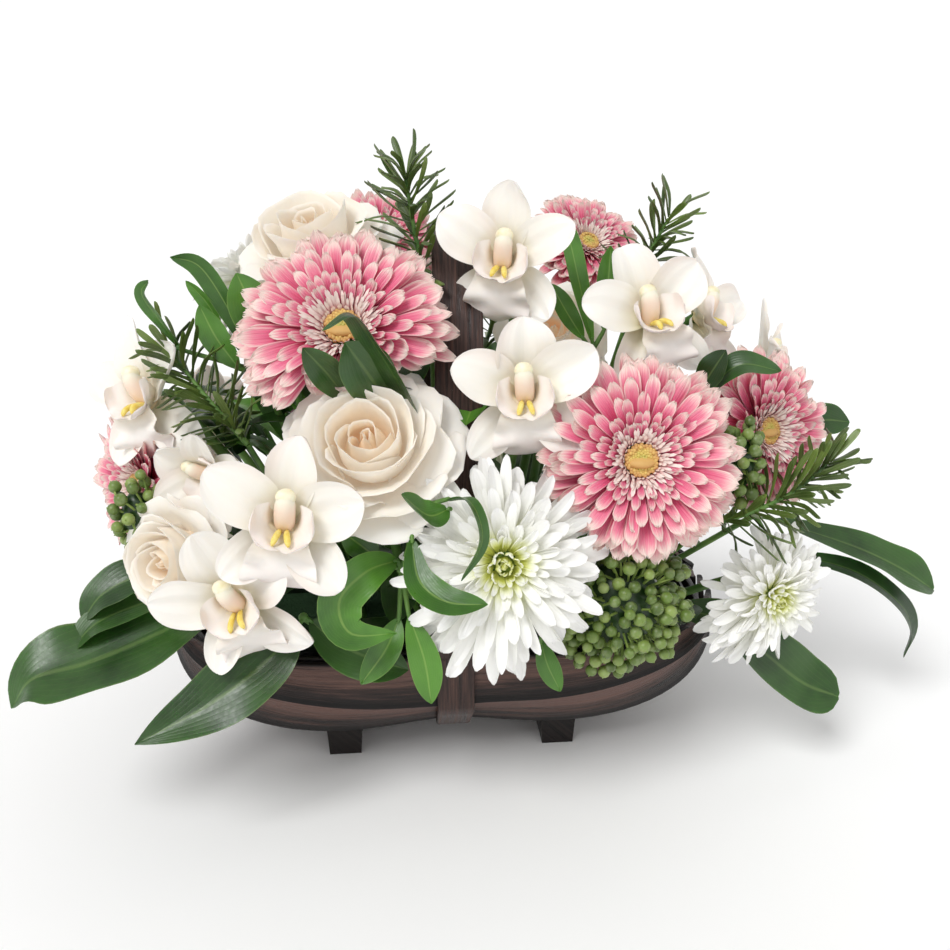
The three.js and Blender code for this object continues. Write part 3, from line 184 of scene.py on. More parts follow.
class Sheaf:
    """Closed surfaces gathered for one piece."""

    def __init__(self):
        self.points = []
        self.tones = []
        self.faces = []
        self.total = 0

    def add(self, points, faces, tones, material):
        """faces is a list of arrays of point numbers, each array of faces with as many corners."""
        points = np.asarray(points, float).reshape(-1, 3)
        self.points.append(points)
        self.tones.append(np.asarray(tones, float).reshape(-1, 3))
        self.faces += [(rows + self.total, material) for rows in faces]
        self.total += len(points)

    def blade(self, top, tones, material, thick=None):
        """A petal or leaf: a grid of points and an underside that meets it at its border."""
        rows, columns = top.shape[:2]
        inside = (slice(1, -1), slice(1, -1))
        normal = unit(np.cross(np.gradient(top, axis=0), np.gradient(top, axis=1)))
        under = (top - normal * (thick or THICKNESS[material]))[inside].reshape(-1, 3)
        upper = np.arange(rows * columns).reshape(rows, columns)
        lower = upper.copy()
        lower[inside] = rows * columns + np.arange(len(under)).reshape(rows - 2, columns - 2)
        points = np.vstack([top.reshape(-1, 3), under])
        tones = np.vstack([tones.reshape(-1, 3), tones[inside].reshape(-1, 3)])
        self.add(points, [grid_quads(upper), grid_quads(lower, flip=True)], tones, material)

    def loft(self, rings, tones, material, closed=False):
        """A solid through rings of points that run round anticlockwise seen from the end."""
        count, sides = rings.shape[:2]
        index = np.arange(count * sides).reshape(count, sides)
        ends = [] if closed else [index[:1, ::-1], index[-1:]]
        if closed:
            index = np.vstack([index, index[:1]])
        sides = grid_quads(np.hstack([index, index[:, :1]]), flip=True)
        self.add(rings, [sides, *ends], tones, material)

    def tube(self, line, radii, material, sides):
        """A round bar along a line. radii is one radius, or one for each of its points."""
        line = np.asarray(line, float)
        along = unit(np.gradient(line, axis=0))
        x = carried(np.cross(along[0], UP if abs(along[0][2]) < 0.9 else [1, 0, 0]), along)
        y = np.cross(along, x)
        turns = evenly(sides)[:, None]
        radii = np.broadcast_to(radii, len(line))[:, None, None]
        rings = line[:, None] + radii * (np.cos(turns) * x[:, None] + np.sin(turns) * y[:, None])
        share = np.linspace(0, 1, len(line))[:, None]
        self.loft(rings, toned(share, 0.5, np.full((1, sides), 0.5)), material)

    def ball(self, centre, radii, material, cells, tone=(0.5, 0.5)):
        """A round body. Its height is the first of its three tones, and tone holds the others."""
        points, faces = BALLS[cells]
        tones = toned((points[:, 2] + 1) / 2, *tone)
        self.add(np.asarray(centre) + points * radii, faces, tones, material)

    def piece(self, name, slot, *nodes):
        """Makes the mesh, which rides on the body and stands for the nodes."""
        mesh = bpy.data.meshes.new(name)
        points = np.concatenate(self.points) * MM + ORIGIN
        names = sorted({material for _, material in self.faces})
        corners = np.concatenate([rows.ravel() for rows, _ in self.faces])
        sizes = np.concatenate([np.full(len(rows), rows.shape[1]) for rows, _ in self.faces])
        marks = np.concatenate([np.full(len(rows), names.index(m)) for rows, m in self.faces])
        mesh.vertices.add(len(points))
        mesh.vertices.foreach_set("co", points.ravel())
        mesh.loops.add(len(corners))
        mesh.loops.foreach_set("vertex_index", corners.astype(np.int32))
        mesh.polygons.add(len(sizes))
        mesh.polygons.foreach_set("loop_start", (np.cumsum(sizes) - sizes).astype(np.int32))
        mesh.polygons.foreach_set("material_index", marks.astype(np.int32))
        mesh.polygons.foreach_set("use_smooth", np.ones(len(sizes), bool))
        for material in names:
            mesh.materials.append(MATERIALS[material])
        tone = mesh.attributes.new("tone", "FLOAT_VECTOR", "POINT")
        tone.data.foreach_set("vector", np.concatenate(self.tones).ravel())
        mesh.update(calc_edges=True)
        mesh.validate()
        mesh.set_sharp_from_angle(angle=SHARP_ANGLE)
        made = add_object(name, mesh)
        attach(made, "root")
        if nodes:
            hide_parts(*nodes)


def ball_grid(cells):
    """Points and faces of a cube with cells quads along each edge, drawn out onto a unit sphere."""
    share = np.tan(np.linspace(-1, 1, cells + 1) * math.pi / 4)
    u, v = np.meshgrid(share, share, indexing="ij")
    one = np.ones_like(u)
    sheets = [(u, v, one), (v, u, -one), (one, u, v), (-one, v, u), (v, one, u), (u, -one, v)]
    points = unit(np.concatenate([np.stack(sheet, -1).reshape(-1, 3) for sheet in sheets]))
    index = np.arange(len(points)).reshape(len(sheets), cells + 1, cells + 1)
    faces = np.concatenate([grid_quads(sheet) for sheet in index])
    _, first, same = np.unique(points.round(5), axis=0, return_index=True, return_inverse=True)
    return points[first], [same.reshape(-1)[faces]]


BALLS = {cells: ball_grid(cells) for cells in (2, 3, 4)}

# Materials

COAT_ROUGH = 0.25
GLOW_DEPTH = 2.5 * MM
# The sockets of a mix of colours
MIX_SHARE, MIX_FIRST, MIX_SECOND, MIX_RESULT = 0, 6, 7, 2


def tint(code):
    """A colour from its six-figure code, as linear light."""
    values = [int(code[k : k + 2], 16) / 255 for k in (0, 2, 4)]
    linear = [v / 12.92 if v <= 0.04045 else ((v + 0.055) / 1.055) ** 2.4 for v in values]
    return (*linear, 1)


class Value:
    """What a node gives out. A sum, difference, product or power of values adds a node."""

    def __init__(self, nodes, socket):
        self.nodes = nodes
        self.socket = socket

    def __add__(self, other):
        return self.nodes.math("ADD", self, other)

    def __sub__(self, other):
        return self.nodes.math("SUBTRACT", self, other)

    def __mul__(self, other):
        return self.nodes.math("MULTIPLY", self, other)

    def __pow__(self, other):
        return self.nodes.math("POWER", self, other)


class Nodes:
    """A tree of nodes, written as arithmetic and nested calls."""

    def __init__(self, tree):
        self.tree = tree

    def put(self, socket, value):
        """Fills a socket with a value, a number, a vector or a colour's code."""
        if isinstance(value, Value):
            self.tree.links.new(value.socket, socket)
        else:
            socket.default_value = tint(value) if isinstance(value, str) else value

    def node(self, kind, inputs=(), output=0, **settings):
        """Adds a node, fills its inputs in order or by key, and gives one of its outputs."""
        made = self.tree.nodes.new(kind)
        for key, value in settings.items():
            setattr(made, key, value)
        for key, value in dict(inputs if isinstance(inputs, dict) else enumerate(inputs)).items():
            self.put(made.inputs[key], value)
        return Value(self, made.outputs[output])

    def math(self, operation, *values):
        return self.node("ShaderNodeMath", values, operation=operation)

    def parts(self, vector):
        """The x, y and z of a vector."""
        split = self.node("ShaderNodeSeparateXYZ", [vector]).socket.node
        return [Value(self, socket) for socket in split.outputs]

    def place(self):
        return self.node("ShaderNodeTexCoord", output="Object")

    def noise(self, scale, vector=None, detail=2.0, rough=0.5):
        inputs = {"Vector": vector or self.place(), "Scale": scale, "Detail": detail, "Roughness": rough}
        return self.node("ShaderNodeTexNoise", inputs, "Fac")

    def ramp(self, share, *stops):
        """A colour that runs through the stops, each a place from 0 to 1 and a code."""
        made = self.node("ShaderNodeValToRGB", [share])
        elements = made.socket.node.color_ramp.elements
        while len(elements) < len(stops):
            elements.new(0.5)
        for element, (place, code) in zip(elements, stops):
            element.position = place
            element.color = tint(code)
        return made

    def mix(self, share, first, second):
        inputs = {MIX_SHARE: share, MIX_FIRST: first, MIX_SECOND: second}
        return self.node("ShaderNodeMix", inputs, MIX_RESULT, data_type="RGBA")

    def span(self, value, low, high, start=0.0, end=1.0):
        """Eases from start where value is low to end where it is high."""
        inputs = (value, low, high, start, end)
        return self.node("ShaderNodeMapRange", inputs, interpolation_type="SMOOTHSTEP")


class Look(Nodes):
    """A material that reads the three tones of a piece's points."""

    def __init__(self, name):
        self.material = bpy.data.materials.new(name)
        self.material.use_nodes = True
        super().__init__(self.material.node_tree)
        self.tree.nodes.clear()
        shader = self.node("ShaderNodeBsdfPrincipled")
        self.surface = shader.socket.node.inputs
        self.put(self.tree.nodes.new("ShaderNodeOutputMaterial").inputs[0], shader)

    def tone(self):
        return self.parts(self.node("ShaderNodeAttribute", output="Vector", attribute_name="tone"))

    def bump(self, height, depth):
        """Relief of a depth in millimetres."""
        inputs = {"Height": height, "Distance": depth * MM, "Strength": 1.0}
        self.put(self.surface["Normal"], self.node("ShaderNodeBump", inputs))

    def done(self, colour, rough, glow=0.0, reach=(1.0, 0.4, 0.3), coat=0.0, sheen=0.0, specular=0.5,
             through=0.0):
        """through is painted light: the petal glows a little in its own colour, for light that comes
        through it from behind and lights its shaded hollows.
        """
        values = {
            "Base Color": colour, "Roughness": rough, "Subsurface Weight": glow,
            "Subsurface Radius": reach, "Subsurface Scale": GLOW_DEPTH, "Coat Weight": coat,
            "Coat Roughness": COAT_ROUGH, "Sheen Weight": sheen, "Specular IOR Level": specular,
        }
        # Painted light: an even glow in the petal's own colour.
        if through:
            values |= {"Emission Color": colour, "Emission Strength": through}
        for key, value in values.items():
            self.put(self.surface[key], value)
        return self.material


def veins(look, across, count, depth):
    """Fine lines that run the length of a petal, as relief."""
    wave = look.math("SINE", across * (count * math.pi))
    look.bump(look.math("MULTIPLY_ADD", wave, 0.5, 0.5) + look.noise(260) * 0.8, depth)


def gerbera_look():
    look = Look("gerbera_petal")
    along, across, chance = look.tone()
    veins(look, across, 5, 0.16)
    run = look.node("ShaderNodeCombineXYZ", [along * 1.5, across * 9.0, chance * 37.0])
    streak = look.noise(1.6, run, detail=4, rough=0.6)
    body = look.ramp(
        along + (streak - 0.5) * 0.75 + across**3 * 0.14,
        (0.0, "ae2450"), (0.32, "d8446f"), (0.64, "e46287"), (0.86, "ee94a4"), (1.0, "f3d0c8"),
    )
    rim = look.span(across, 0.7, 1.05) * look.span(along, 0.3, 0.8, 0.1, 0.65)
    tip = look.span(along + streak * 0.2, 0.86, 1.14, 0.0, 0.9)
    edged = look.mix(look.math("MAXIMUM", rim, tip), body, "f3ddd2")
    return look.done(edged, 0.55, glow=0.15, reach=(1.0, 0.3, 0.35), sheen=0.08)


def graded_look(name, relief, drift, share, *stops, **surface):
    """A petal whose colour changes from root to tip. relief and drift are the scales of its noise."""
    look = Look(name)
    along, _, _ = look.tone()
    look.bump(look.noise(relief), 0.2)
    return look.done(look.ramp(along + look.noise(drift) * share, *stops), **surface)


def eye_look():
    look = Look("gerbera_eye")
    height, _, ring = look.tone()
    look.bump(look.noise(900), 0.2)
    body = look.ramp(ring, (0.0, "9aa14a"), (0.45, "c3b253"), (0.75, "cfa559"), (1.0, "b97a48"))
    # Painted highlight: the eye's florets and disc are paler towards their tops, by their height.
    return look.done(look.mix(height * 0.35, body, "f2dc8a"), 0.6)


def orchid_look():
    look = Look("orchid_petal")
    along, across, _ = look.tone()
    veins(look, across, 7, 0.05)
    reach = along + (look.noise(38, detail=3) - 0.5) * 0.5
    body = look.ramp(reach, (0.0, "cfcb9e"), (0.2, "e0dac4"), (0.45, "ebe6dc"), (1.0, "eeeae4"))
    blush = look.span(across, 0.2, 0.9) * look.span(look.noise(22, detail=1), 0.4, 0.7) * 0.45
    blushed = look.mix(blush, body, "ead8d0")
    # Painted light: through makes the petals glow a little.
    return look.done(blushed, 0.42, glow=0.2, reach=(1.0, 0.75, 0.55), coat=0.05, through=0.06)


def plain_look(name, dark, light, scale, depth, rough, glow=0.0, coat=0.0):
    """A soft surface that drifts between two shades."""
    look = Look(name)
    drift = look.noise(scale, detail=3)
    look.bump(look.noise(scale * 3, detail=3), depth)
    body = look.ramp(drift, (0.3, dark), (0.7, light))
    return look.done(body, look.span(drift, 0.2, 0.8, rough - 0.06, rough + 0.06), glow=glow, coat=coat)


def rose_look():
    look = Look("rose_petal")
    along, across, layer = look.tone()
    veins(look, across, 9, 0.05)
    body = look.ramp(
        along * 0.42 + layer * 0.6 + (look.noise(40, detail=3) - 0.5) * 0.22,
        (0.04, "f0b488"), (0.2, "f4d0a8"), (0.38, "f4e0c6"), (0.58, "f0e7da"), (1.0, "ebe6de"),
    )
    edged = look.mix(look.span(along, 0.9, 1.0, 0.0, 0.5), body, "f1eadf")
    # Painted light: through makes the petals glow a little, which lightens the shaded cups of the heart.
    return look.done(edged, 0.5, glow=0.3, reach=(1.0, 0.75, 0.5), sheen=0.05, through=0.1)


def mum_look():
    look = Look("mum_petal")
    along, across, layer = look.tone()
    veins(look, across, 4, 0.07)
    body = look.ramp(
        along - layer * 0.85 + look.noise(80) * 0.1,
        (0.0, "c6ca62"), (0.12, "dcdf8a"), (0.32, "ebedc8"), (0.52, "efefe6"), (1.0, "f2f1ee"),
    )
    # Painted light: through makes the petals glow a little.
    return look.done(body, 0.5, glow=0.2, reach=(1.0, 0.95, 0.75), sheen=0.04, through=0.06)


def berry_look():
    look = Look("berry_skin")
    _, _, chance = look.tone()
    look.bump(look.noise(500, detail=3), 0.12)
    shade = chance * 0.6 + look.noise(160) * 0.4
    body = look.ramp(shade, (0.2, "4c6128"), (0.5, "6a823a"), (0.8, "8a9e52"))
    bloom = look.span(look.noise(240, detail=3), 0.45, 0.75) * 0.35
    return look.done(look.mix(bloom, body, "a9b58a"), 0.42, glow=0.1, coat=0.08)


def leaf_look(name, deep, body, pale, rough, vein_count):
    """A leaf with a paler midrib, fine veins that run along it, blotches, and a painted highlight along
    its edges.
    """
    look = Look(name)
    along, across, chance = look.tone()
    lines = look.math("SINE", (across + along * along * 0.6) * (vein_count * math.pi))
    ribs = look.math("ABSOLUTE", lines) ** 0.5
    fine = look.noise(420, detail=4)
    look.bump(ribs * 0.45 + fine * 0.4, 0.1)
    colour = look.mix(look.span(look.noise(45, detail=3) * 0.7 + chance * 0.3, 0.3, 0.75), deep, body)
    for paler in (
        look.span(ribs, 0.5, 0.2, 0.0, 0.08),
        look.span(across, 0.09, 0.02, 0.0, 0.3),
        # Painted highlight: paler along the edges.
        look.span(across, 0.94, 1.0, 0.0, 0.3),
    ):
        colour = look.mix(paler, colour, pale)
    gloss = look.span(fine, 0.2, 0.8, rough - 0.07, rough + 0.1)
    return look.done(colour, gloss, glow=0.06, reach=(0.3, 1.0, 0.2), coat=0.12)


def wood_look(name, deep, body, pale, lapped=False, by_place=False):
    """Dark stained split wood with long grain. A lapped board is painted paler from its middle up, where
    it faces up, and painted near-black at its low edge, which turns under, and at its top edge, under
    the next lap. by_place is for a piece without tones, whose grain runs from front to back."""
    look = Look(name)
    if by_place:
        x, y, z = look.parts(look.place())
        along, across, chance = y * 10.0, (x + z) * 30.0, 0.5
    else:
        along, across, chance = look.tone()
    run = look.node("ShaderNodeCombineXYZ", [along * 0.8, across * 5.0, chance * 9.0])
    grain = look.noise(3.2, run, detail=6, rough=0.65)
    look.bump(grain + look.noise(12, run, detail=3) * 0.5, 0.6)
    stained = look.ramp(grain, (0.32, deep), (0.52, body), (0.75, pale))
    dull = look.span(grain, 0.3, 0.7, 0.26, 0.46)
    if lapped:
        # Painted light and shade: paler from the middle up, where the board faces up, and near-black at
        # the low edge, which turns under, and at the top edge, under the next lap; rougher there too.
        painted_light_band = look.span(across, 0.34, 0.6) * look.span(grain, 0.2, 0.6, 0.3, 0.75)
        painted_shade = look.math("MAXIMUM", look.span(across, 0.4, 0.08), look.span(across, 0.86, 0.97))
        stained = look.mix(painted_shade * 0.95, look.mix(painted_light_band, stained, pale), deep)
        dull = look.math("MAXIMUM", dull, painted_shade * 0.7)
    return look.done(stained, dull, specular=0.3, coat=0.1)


def foam_look():
    look = Look("foam_cells")
    cells = look.node("ShaderNodeTexVoronoi", {"Vector": look.place(), "Scale": 700.0}, "Distance")
    look.bump(cells, 0.5)
    return look.done(look.mix(look.noise(60, detail=4), "1c3320", "3b5c3a"), 0.9)


MATERIALS = {
    "gerbera": gerbera_look(),
    "frill": graded_look(
        "gerbera_frill", 400, 300, 0.3, (0.1, "cc6480"), (0.45, "e9b2b0"), (0.85, "f5e2da"),
        rough=0.6, glow=0.12,
    ),
    "eye": eye_look(),
    "orchid": orchid_look(),
    "lip": graded_look(
        "orchid_lip", 180, 60, 0.2, (0.0, "ead58e"), (0.22, "efe4cc"), (0.6, "f2ebe4"), (1.0, "f0e5e0"),
        rough=0.45, glow=0.2, reach=(1.0, 0.7, 0.55), coat=0.04,
    ),
    "crest": plain_look("orchid_crest", "e6c94e", "f2e48e", 300, 0.3, 0.5, glow=0.1),
    "column": graded_look(
        "orchid_column", 220, 120, 0.15, (0.0, "ead9ae"), (0.3, "ebceb2"), (0.7, "ecd6c2"),
        (0.95, "f0e8d4"), rough=0.5, glow=0.15, coat=0.04,
    ),
    "cap": plain_look("orchid_cap", "eadfb4", "f6f0da", 200, 0.15, 0.4, glow=0.15),
    "rose": rose_look(),
    "mum": mum_look(),
    "berry": berry_look(),
    "stalk": plain_look("berry_stalk", "6f8a3c", "9bb05a", 120, 0.2, 0.55),
    "stem": plain_look("flower_stem", "3f6a2c", "6a9142", 60, 0.25, 0.5, coat=0.05),
    "leaf": leaf_look("leaf_dark", "1b3711", "365a22", "7a9452", 0.36, 6),
    "leaf_bright": leaf_look("leaf_bright", "2e5813", "548928", "a0bc60", 0.34, 7),
    "needle": leaf_look("rosemary_needle", "3c5020", "70863c", "b0c084", 0.42, 2),
    "board": wood_look("board_wood", "090505", "33221d", "6e5047", lapped=True),
    "strap": wood_look("strap_wood", "1c1210", "3d2a25", "66493f"),
    # board_dark is a near-black copy of the stained wood, for the rim and feet: dark stain and painted
    # shade, for the flowers' shade over the rim and the trug's shade over its feet.
    "board_dark": wood_look("board_dark_wood", "070404", "150e0c", "2e2420", by_place=True),
    "liner": plain_look("liner_film", "0f130f", "1e251d", 40, 0.6, 0.35),
    "foam": foam_look(),
}

# Petals

TIP_ROW = 0.997
STRAP = (0.34, 0.6, 8.0, 0.46)
SPOON = (0.26, 0.62, 5.5, 0.55)
SEPAL = (0.22, 0.55, 3.6, 0.6)
WIDE = (0.2, 0.6, 2.3, 0.66)
APRON = (0.42, 0.55, 5.0, 0.5)
LOBE = (0.5, 0.45, 4.0, 0.5)


def outline(along, base, swell, end, blunt):
    """Half widths from root to tip as shares of the widest: small swell is full near the root,
    a large end carries the width far out, and a small blunt rounds the tip."""
    dense = np.linspace(0, 1, 200)
    widths, most = (t**swell * (1 - t**end) ** blunt for t in (along, dense))
    return np.maximum(widths / most.max(), base * (1 - along))


def petal(length, width, pitch, form, rows=10, columns=7, bow=1.0, reflex=0.0, cup=0.1, groove=0.0,
          ruffle=0.0, waves=3.0, phase=0.0, twist=0.0, start=0.0, rise=0.0, chance=0.5, notch=0.0):
    """A petal's grid in a head's axes before it is turned: x runs out, y aside and z up off the face.
    Its pitch changes from root to tip, and so may its cup. reflex bends its last third further, and
    notch cuts two teeth into its tip."""
    t = crowded(rows, 1.4) * TIP_ROW
    angle = np.radians(pitch[0] + (pitch[1] - pitch[0]) * t**bow + reflex * smooth(t, 0.65, 1))
    step = np.diff(t, prepend=0) * length
    middle = (angle + np.concatenate([angle[:1], angle[:-1]])) / 2
    out = (start + np.cumsum(np.cos(middle) * step))[:, None]
    up = (rise + np.cumsum(np.sin(middle) * step))[:, None]
    bowl = np.interp(t, (0, 1), np.broadcast_to(cup, 2))[:, None]
    half = (outline(t, *form) * width / 2)[:, None]
    t, angle = t[:, None], angle[:, None]
    v = np.linspace(-1, 1, columns)[None, :]
    wave = np.sin(FULL_TURN * waves * t + phase + 1.7 * (v > 0))
    frilled = ruffle * np.abs(v) ** 1.6 * wave
    grooved = groove * np.cos(2.5 * np.pi * v) * (1 - v**2)
    lift = half * (bowl * v**2 + frilled + grooved)
    c, s = np.cos(twist * t), np.sin(twist * t)
    side, lift = half * v * c - lift * s, half * v * s + lift * c
    teeth = notch * length * smooth(t, 0.75, 1) * np.sin(1.5 * np.pi * np.abs(v)) ** 2
    out, up = out - np.cos(angle) * teeth, up - np.sin(angle) * teeth
    grid = np.stack([out - np.sin(angle) * lift, side, up + np.cos(angle) * lift], -1)
    return grid, toned(t, np.abs(v), chance)


def turned(grid, turn):
    """A grid turned round the head's own z axis."""
    c, s = math.cos(turn), math.sin(turn)
    return grid @ np.array([[c, s, 0], [-s, c, 0], [0, 0, 1]])


class Head:
    """Where one bloom sits: its axes and the random numbers that it draws."""

    def __init__(self, sheaf, place, face, size, roll, seed):
        self.sheaf = sheaf
        self.place = np.array(place, float)
        self.axes = head_frame(face, roll)
        self.radius = size / 2
        self.random = np.random.default_rng(seed)

    def world(self, points):
        return self.place + np.asarray(points, float) @ self.axes.T

    def down(self, turn):
        """How far a petal at this turn points to the ground, from -1 to 1."""
        return -self.axes[2] @ [math.cos(turn), math.sin(turn), 0]

    def jitter(self, spread):
        return self.random.uniform(-spread, spread)

    def blade(self, grid, tones, turn, material, thick=None):
        self.sheaf.blade(self.world(turned(grid, turn)), tones, material, thick)

    def tube(self, line, radii, material, sides):
        self.sheaf.tube(self.world(line), radii, material, sides)

    def calyx(self, heights, radii, sides):
        """The green cup behind the head, with a radius at each height along the head's z axis."""
        self.tube([(0, 0, height) for height in heights], radii, "stem", sides)

    def ball(self, centre, radii, material, cells, tone=(0.5, 0.5)):
        self.sheaf.ball(self.world(centre), radii, material, cells, tone)


# A ring of rays: count, reach, start and width as shares of the radius, pitch at root and tip, rise.
GERBERA_RAYS = [
    (25, 1.04, 0.2, 0.2, (0, -8), -2.0),
    (25, 1.0, 0.2, 0.194, (7, -3), -1.2),
    (25, 0.95, 0.2, 0.178, (13, 4), -0.4),
    (24, 0.86, 0.19, 0.14, (20, 11), 0.4),
    (24, 0.7, 0.19, 0.11, (30, 20), 1.1),
    (28, 0.55, 0.18, 0.08, (40, 29), 1.6),
    (30, 0.45, 0.17, 0.06, (48, 38), 2.0),
]
FRILL_RINGS = [
    (54, 0.4, 0.17, 0.034, (50, 34), 2.0),
    (50, 0.35, 0.16, 0.03, (58, 42), 2.2),
    (44, 0.3, 0.16, 0.028, (66, 54), 2.3),
    (36, 0.24, 0.15, 0.026, (76, 68), 2.3),
]
EYE_FLORETS = 120
EYE_SHARE = 0.15
GERBERA_SEPALS = 20
TRIM_EASE = 25


def trimmed(turn, trim):
    """The share of its reach that a petal keeps: trim is a side in degrees, its spread and the share."""
    if not trim:
        return 1
    side, spread, share = trim
    away = abs((math.degrees(turn) - side + 180) % 360 - 180)
    return 1 - (1 - share) * smooth(spread - away, 0, TRIM_EASE)


def gerbera(head, item):
    r = head.radius
    for layer, (count, reach, start, width, pitch, rise) in enumerate(GERBERA_RAYS):
        for turn in evenly(count, 0.5 * (layer % 2)):
            turn += head.jitter(0.1)
            length = reach * trimmed(turn, item.trim) - start
            sag = 6 * head.down(turn)
            head.blade(*petal(
                length * r * (1 - abs(head.jitter(0.12))), width * r * (1 + head.jitter(0.14)),
                (pitch[0] + head.jitter(6), pitch[1] - sag + head.jitter(13)), STRAP,
                cup=0.14 + head.jitter(0.24), groove=0.08, twist=head.jitter(0.6),
                reflex=head.jitter(26), start=start * r, rise=rise, chance=head.random.random(),
                notch=0.045,
            ), turn, "gerbera")
    for layer, (count, reach, start, width, pitch, rise) in enumerate(FRILL_RINGS):
        for turn in evenly(count, 0.5 * layer):
            turn += head.jitter(0.08)
            head.blade(*petal(
                (reach - start) * r * (1 + head.jitter(0.22)), width * r,
                (pitch[0] + head.jitter(8), pitch[1] + head.jitter(8)), STRAP, rows=5, columns=3,
                start=start * r, rise=rise, twist=head.jitter(0.6),
            ), turn, "frill")
    for i in range(EYE_FLORETS):
        share = math.sqrt((i + 0.5) / EYE_FLORETS)
        out, turn = share * EYE_SHARE * r, i * GOLDEN_TURN
        dome = 4.5 - 1.4 * share**2 + (0.9 if share > 0.75 else 0)
        place = (out * math.cos(turn), out * math.sin(turn), dome + head.jitter(0.4))
        head.ball(place, (0.015 + 0.007 * share) * r, "eye", 2, (0.5, share + head.jitter(0.12)))
    head.ball((0, 0, 0), (0.16 * r, 0.16 * r, 3.4), "eye", 4, (0.5, 0.9))
    head.calyx((-11, -8, -4, -0.8), (3.4, 0.17 * r, 0.27 * r, 0.3 * r), 18)
    sepal = petal(0.2 * r, 0.07 * r, (28, 8), SEPAL, rows=5, columns=3, start=0.13 * r, rise=-6)
    for turn in evenly(GERBERA_SEPALS):
        head.blade(*sepal, turn, "leaf_bright", 0.4)


# The same for a mum, whose inner rays stand up and close over its middle.
MUM_RAYS = [
    (23, 1.02, 0.14, 0.15, (-6, -30), -2.5),
    (25, 1.02, 0.14, 0.145, (4, -18), -1.5),
    (25, 0.96, 0.14, 0.14, (13, -8), -0.5),
    (26, 0.87, 0.14, 0.13, (22, 3), 0.8),
    (26, 0.73, 0.13, 0.11, (32, 14), 2.0),
    (24, 0.57, 0.12, 0.09, (42, 28), 3.0),
    (22, 0.42, 0.11, 0.072, (54, 48), 3.6),
    (16, 0.31, 0.09, 0.064, (66, 84), 4.0),
    (14, 0.24, 0.06, 0.056, (74, 112), 4.2),
    (10, 0.18, 0.03, 0.05, (80, 134), 4.4),
    (7, 0.12, 0.01, 0.045, (84, 140), 4.4),
]
MUM_HANG = 0.34


def mum(head, item):
    r = head.radius
    for layer, (count, reach, start, width, pitch, rise) in enumerate(MUM_RAYS):
        for turn in evenly(count, 0.5 * (layer % 2)):
            turn += head.jitter(0.12)
            hang = head.down(turn) * smooth(6 - layer, 0, 6)
            head.blade(*petal(
                (reach - start) * r * (1 + MUM_HANG * max(hang, 0) - abs(head.jitter(0.3))),
                width * r * (1 + head.jitter(0.2)),
                (pitch[0] + head.jitter(8), pitch[1] - 10 * hang + head.jitter(16)), SPOON,
                cup=0.4 + head.jitter(0.24), groove=0.1, ruffle=0.14, waves=1.1, phase=head.jitter(3),
                twist=head.jitter(0.8), reflex=head.jitter(34), start=start * r, rise=rise,
                chance=smooth(layer + head.jitter(0.4), 3.5, 9),
            ), turn, "mum")
    head.ball((0, 0, 3), (0.1 * r, 0.1 * r, 4), "stalk", 3)
    head.calyx((-11, -8, -4, 0), (2.8, 0.12 * r, 0.2 * r, 0.2 * r), 14)


# A rose's rings from the bud out, in shares of the radius: count, half span in degrees, radius at
# half height and at the top edge, height of the top edge, how far it rolls back, and spiral.
ROSE_RINGS = [
    (2, 146, 0.17, 0.05, 0.48, 0.0, 0.04),
    (2, 138, 0.3, 0.16, 0.53, 0.01, 0.06),
    (3, 122, 0.4, 0.3, 0.57, 0.02, 0.07),
    (3, 112, 0.48, 0.44, 0.57, 0.05, 0.06),
    (3, 98, 0.54, 0.58, 0.48, 0.11, 0.05),
    (4, 76, 0.59, 0.71, 0.3, 0.16, 0.04),
    (5, 58, 0.63, 0.83, 0.08, 0.18, 0.03),
]
ROSE_FLOOR = -0.42
ROSE_BASE = 0.05
ROSE_SEPALS = 5


def rose_petal(radius, span, mid, top, high, roll, spiral, head, layer):
    """A petal wrapped round the bud's axis, its top edge rolled back."""
    u = crowded(17, 1.35)[:, None]
    v = np.linspace(-1, 1, 15)[None, :]
    theta = span * v * (0.42 + 0.58 * np.sin(np.minimum(u * 1.25, 1) * math.pi / 2))
    out = ROSE_BASE + (mid - ROSE_BASE) * np.sin(u * math.pi / 2) ** 0.9
    out = out + (top - mid) * smooth(u, 0.45, 1.0)
    crest = (1 - np.abs(v) ** 3.4) ** 0.55
    tall = ROSE_FLOOR + (high - ROSE_FLOOR) * u * (0.3 + 0.7 * crest)
    rolled = smooth(u * (0.55 + 0.45 * crest), 0.78, 1.0)
    point = np.exp(-((v / 0.2) ** 2)) * smooth(u, 0.8, 1) * (0.5 + 1.5 * layer)
    sway = 0.018 * np.sin(3.2 * np.pi * v + head.jitter(3)) * u**2 * (0.4 + layer * 1.2)
    out = out + roll * rolled * (1 - 0.35 * point) + spiral * v + sway
    tall = tall - 0.55 * roll * rolled**2 + 0.035 * point + sway * 0.8
    grid = np.stack([out * np.cos(theta), out * np.sin(theta), tall], -1) * radius
    return grid[::-1], toned(u, np.abs(v), layer)[::-1]


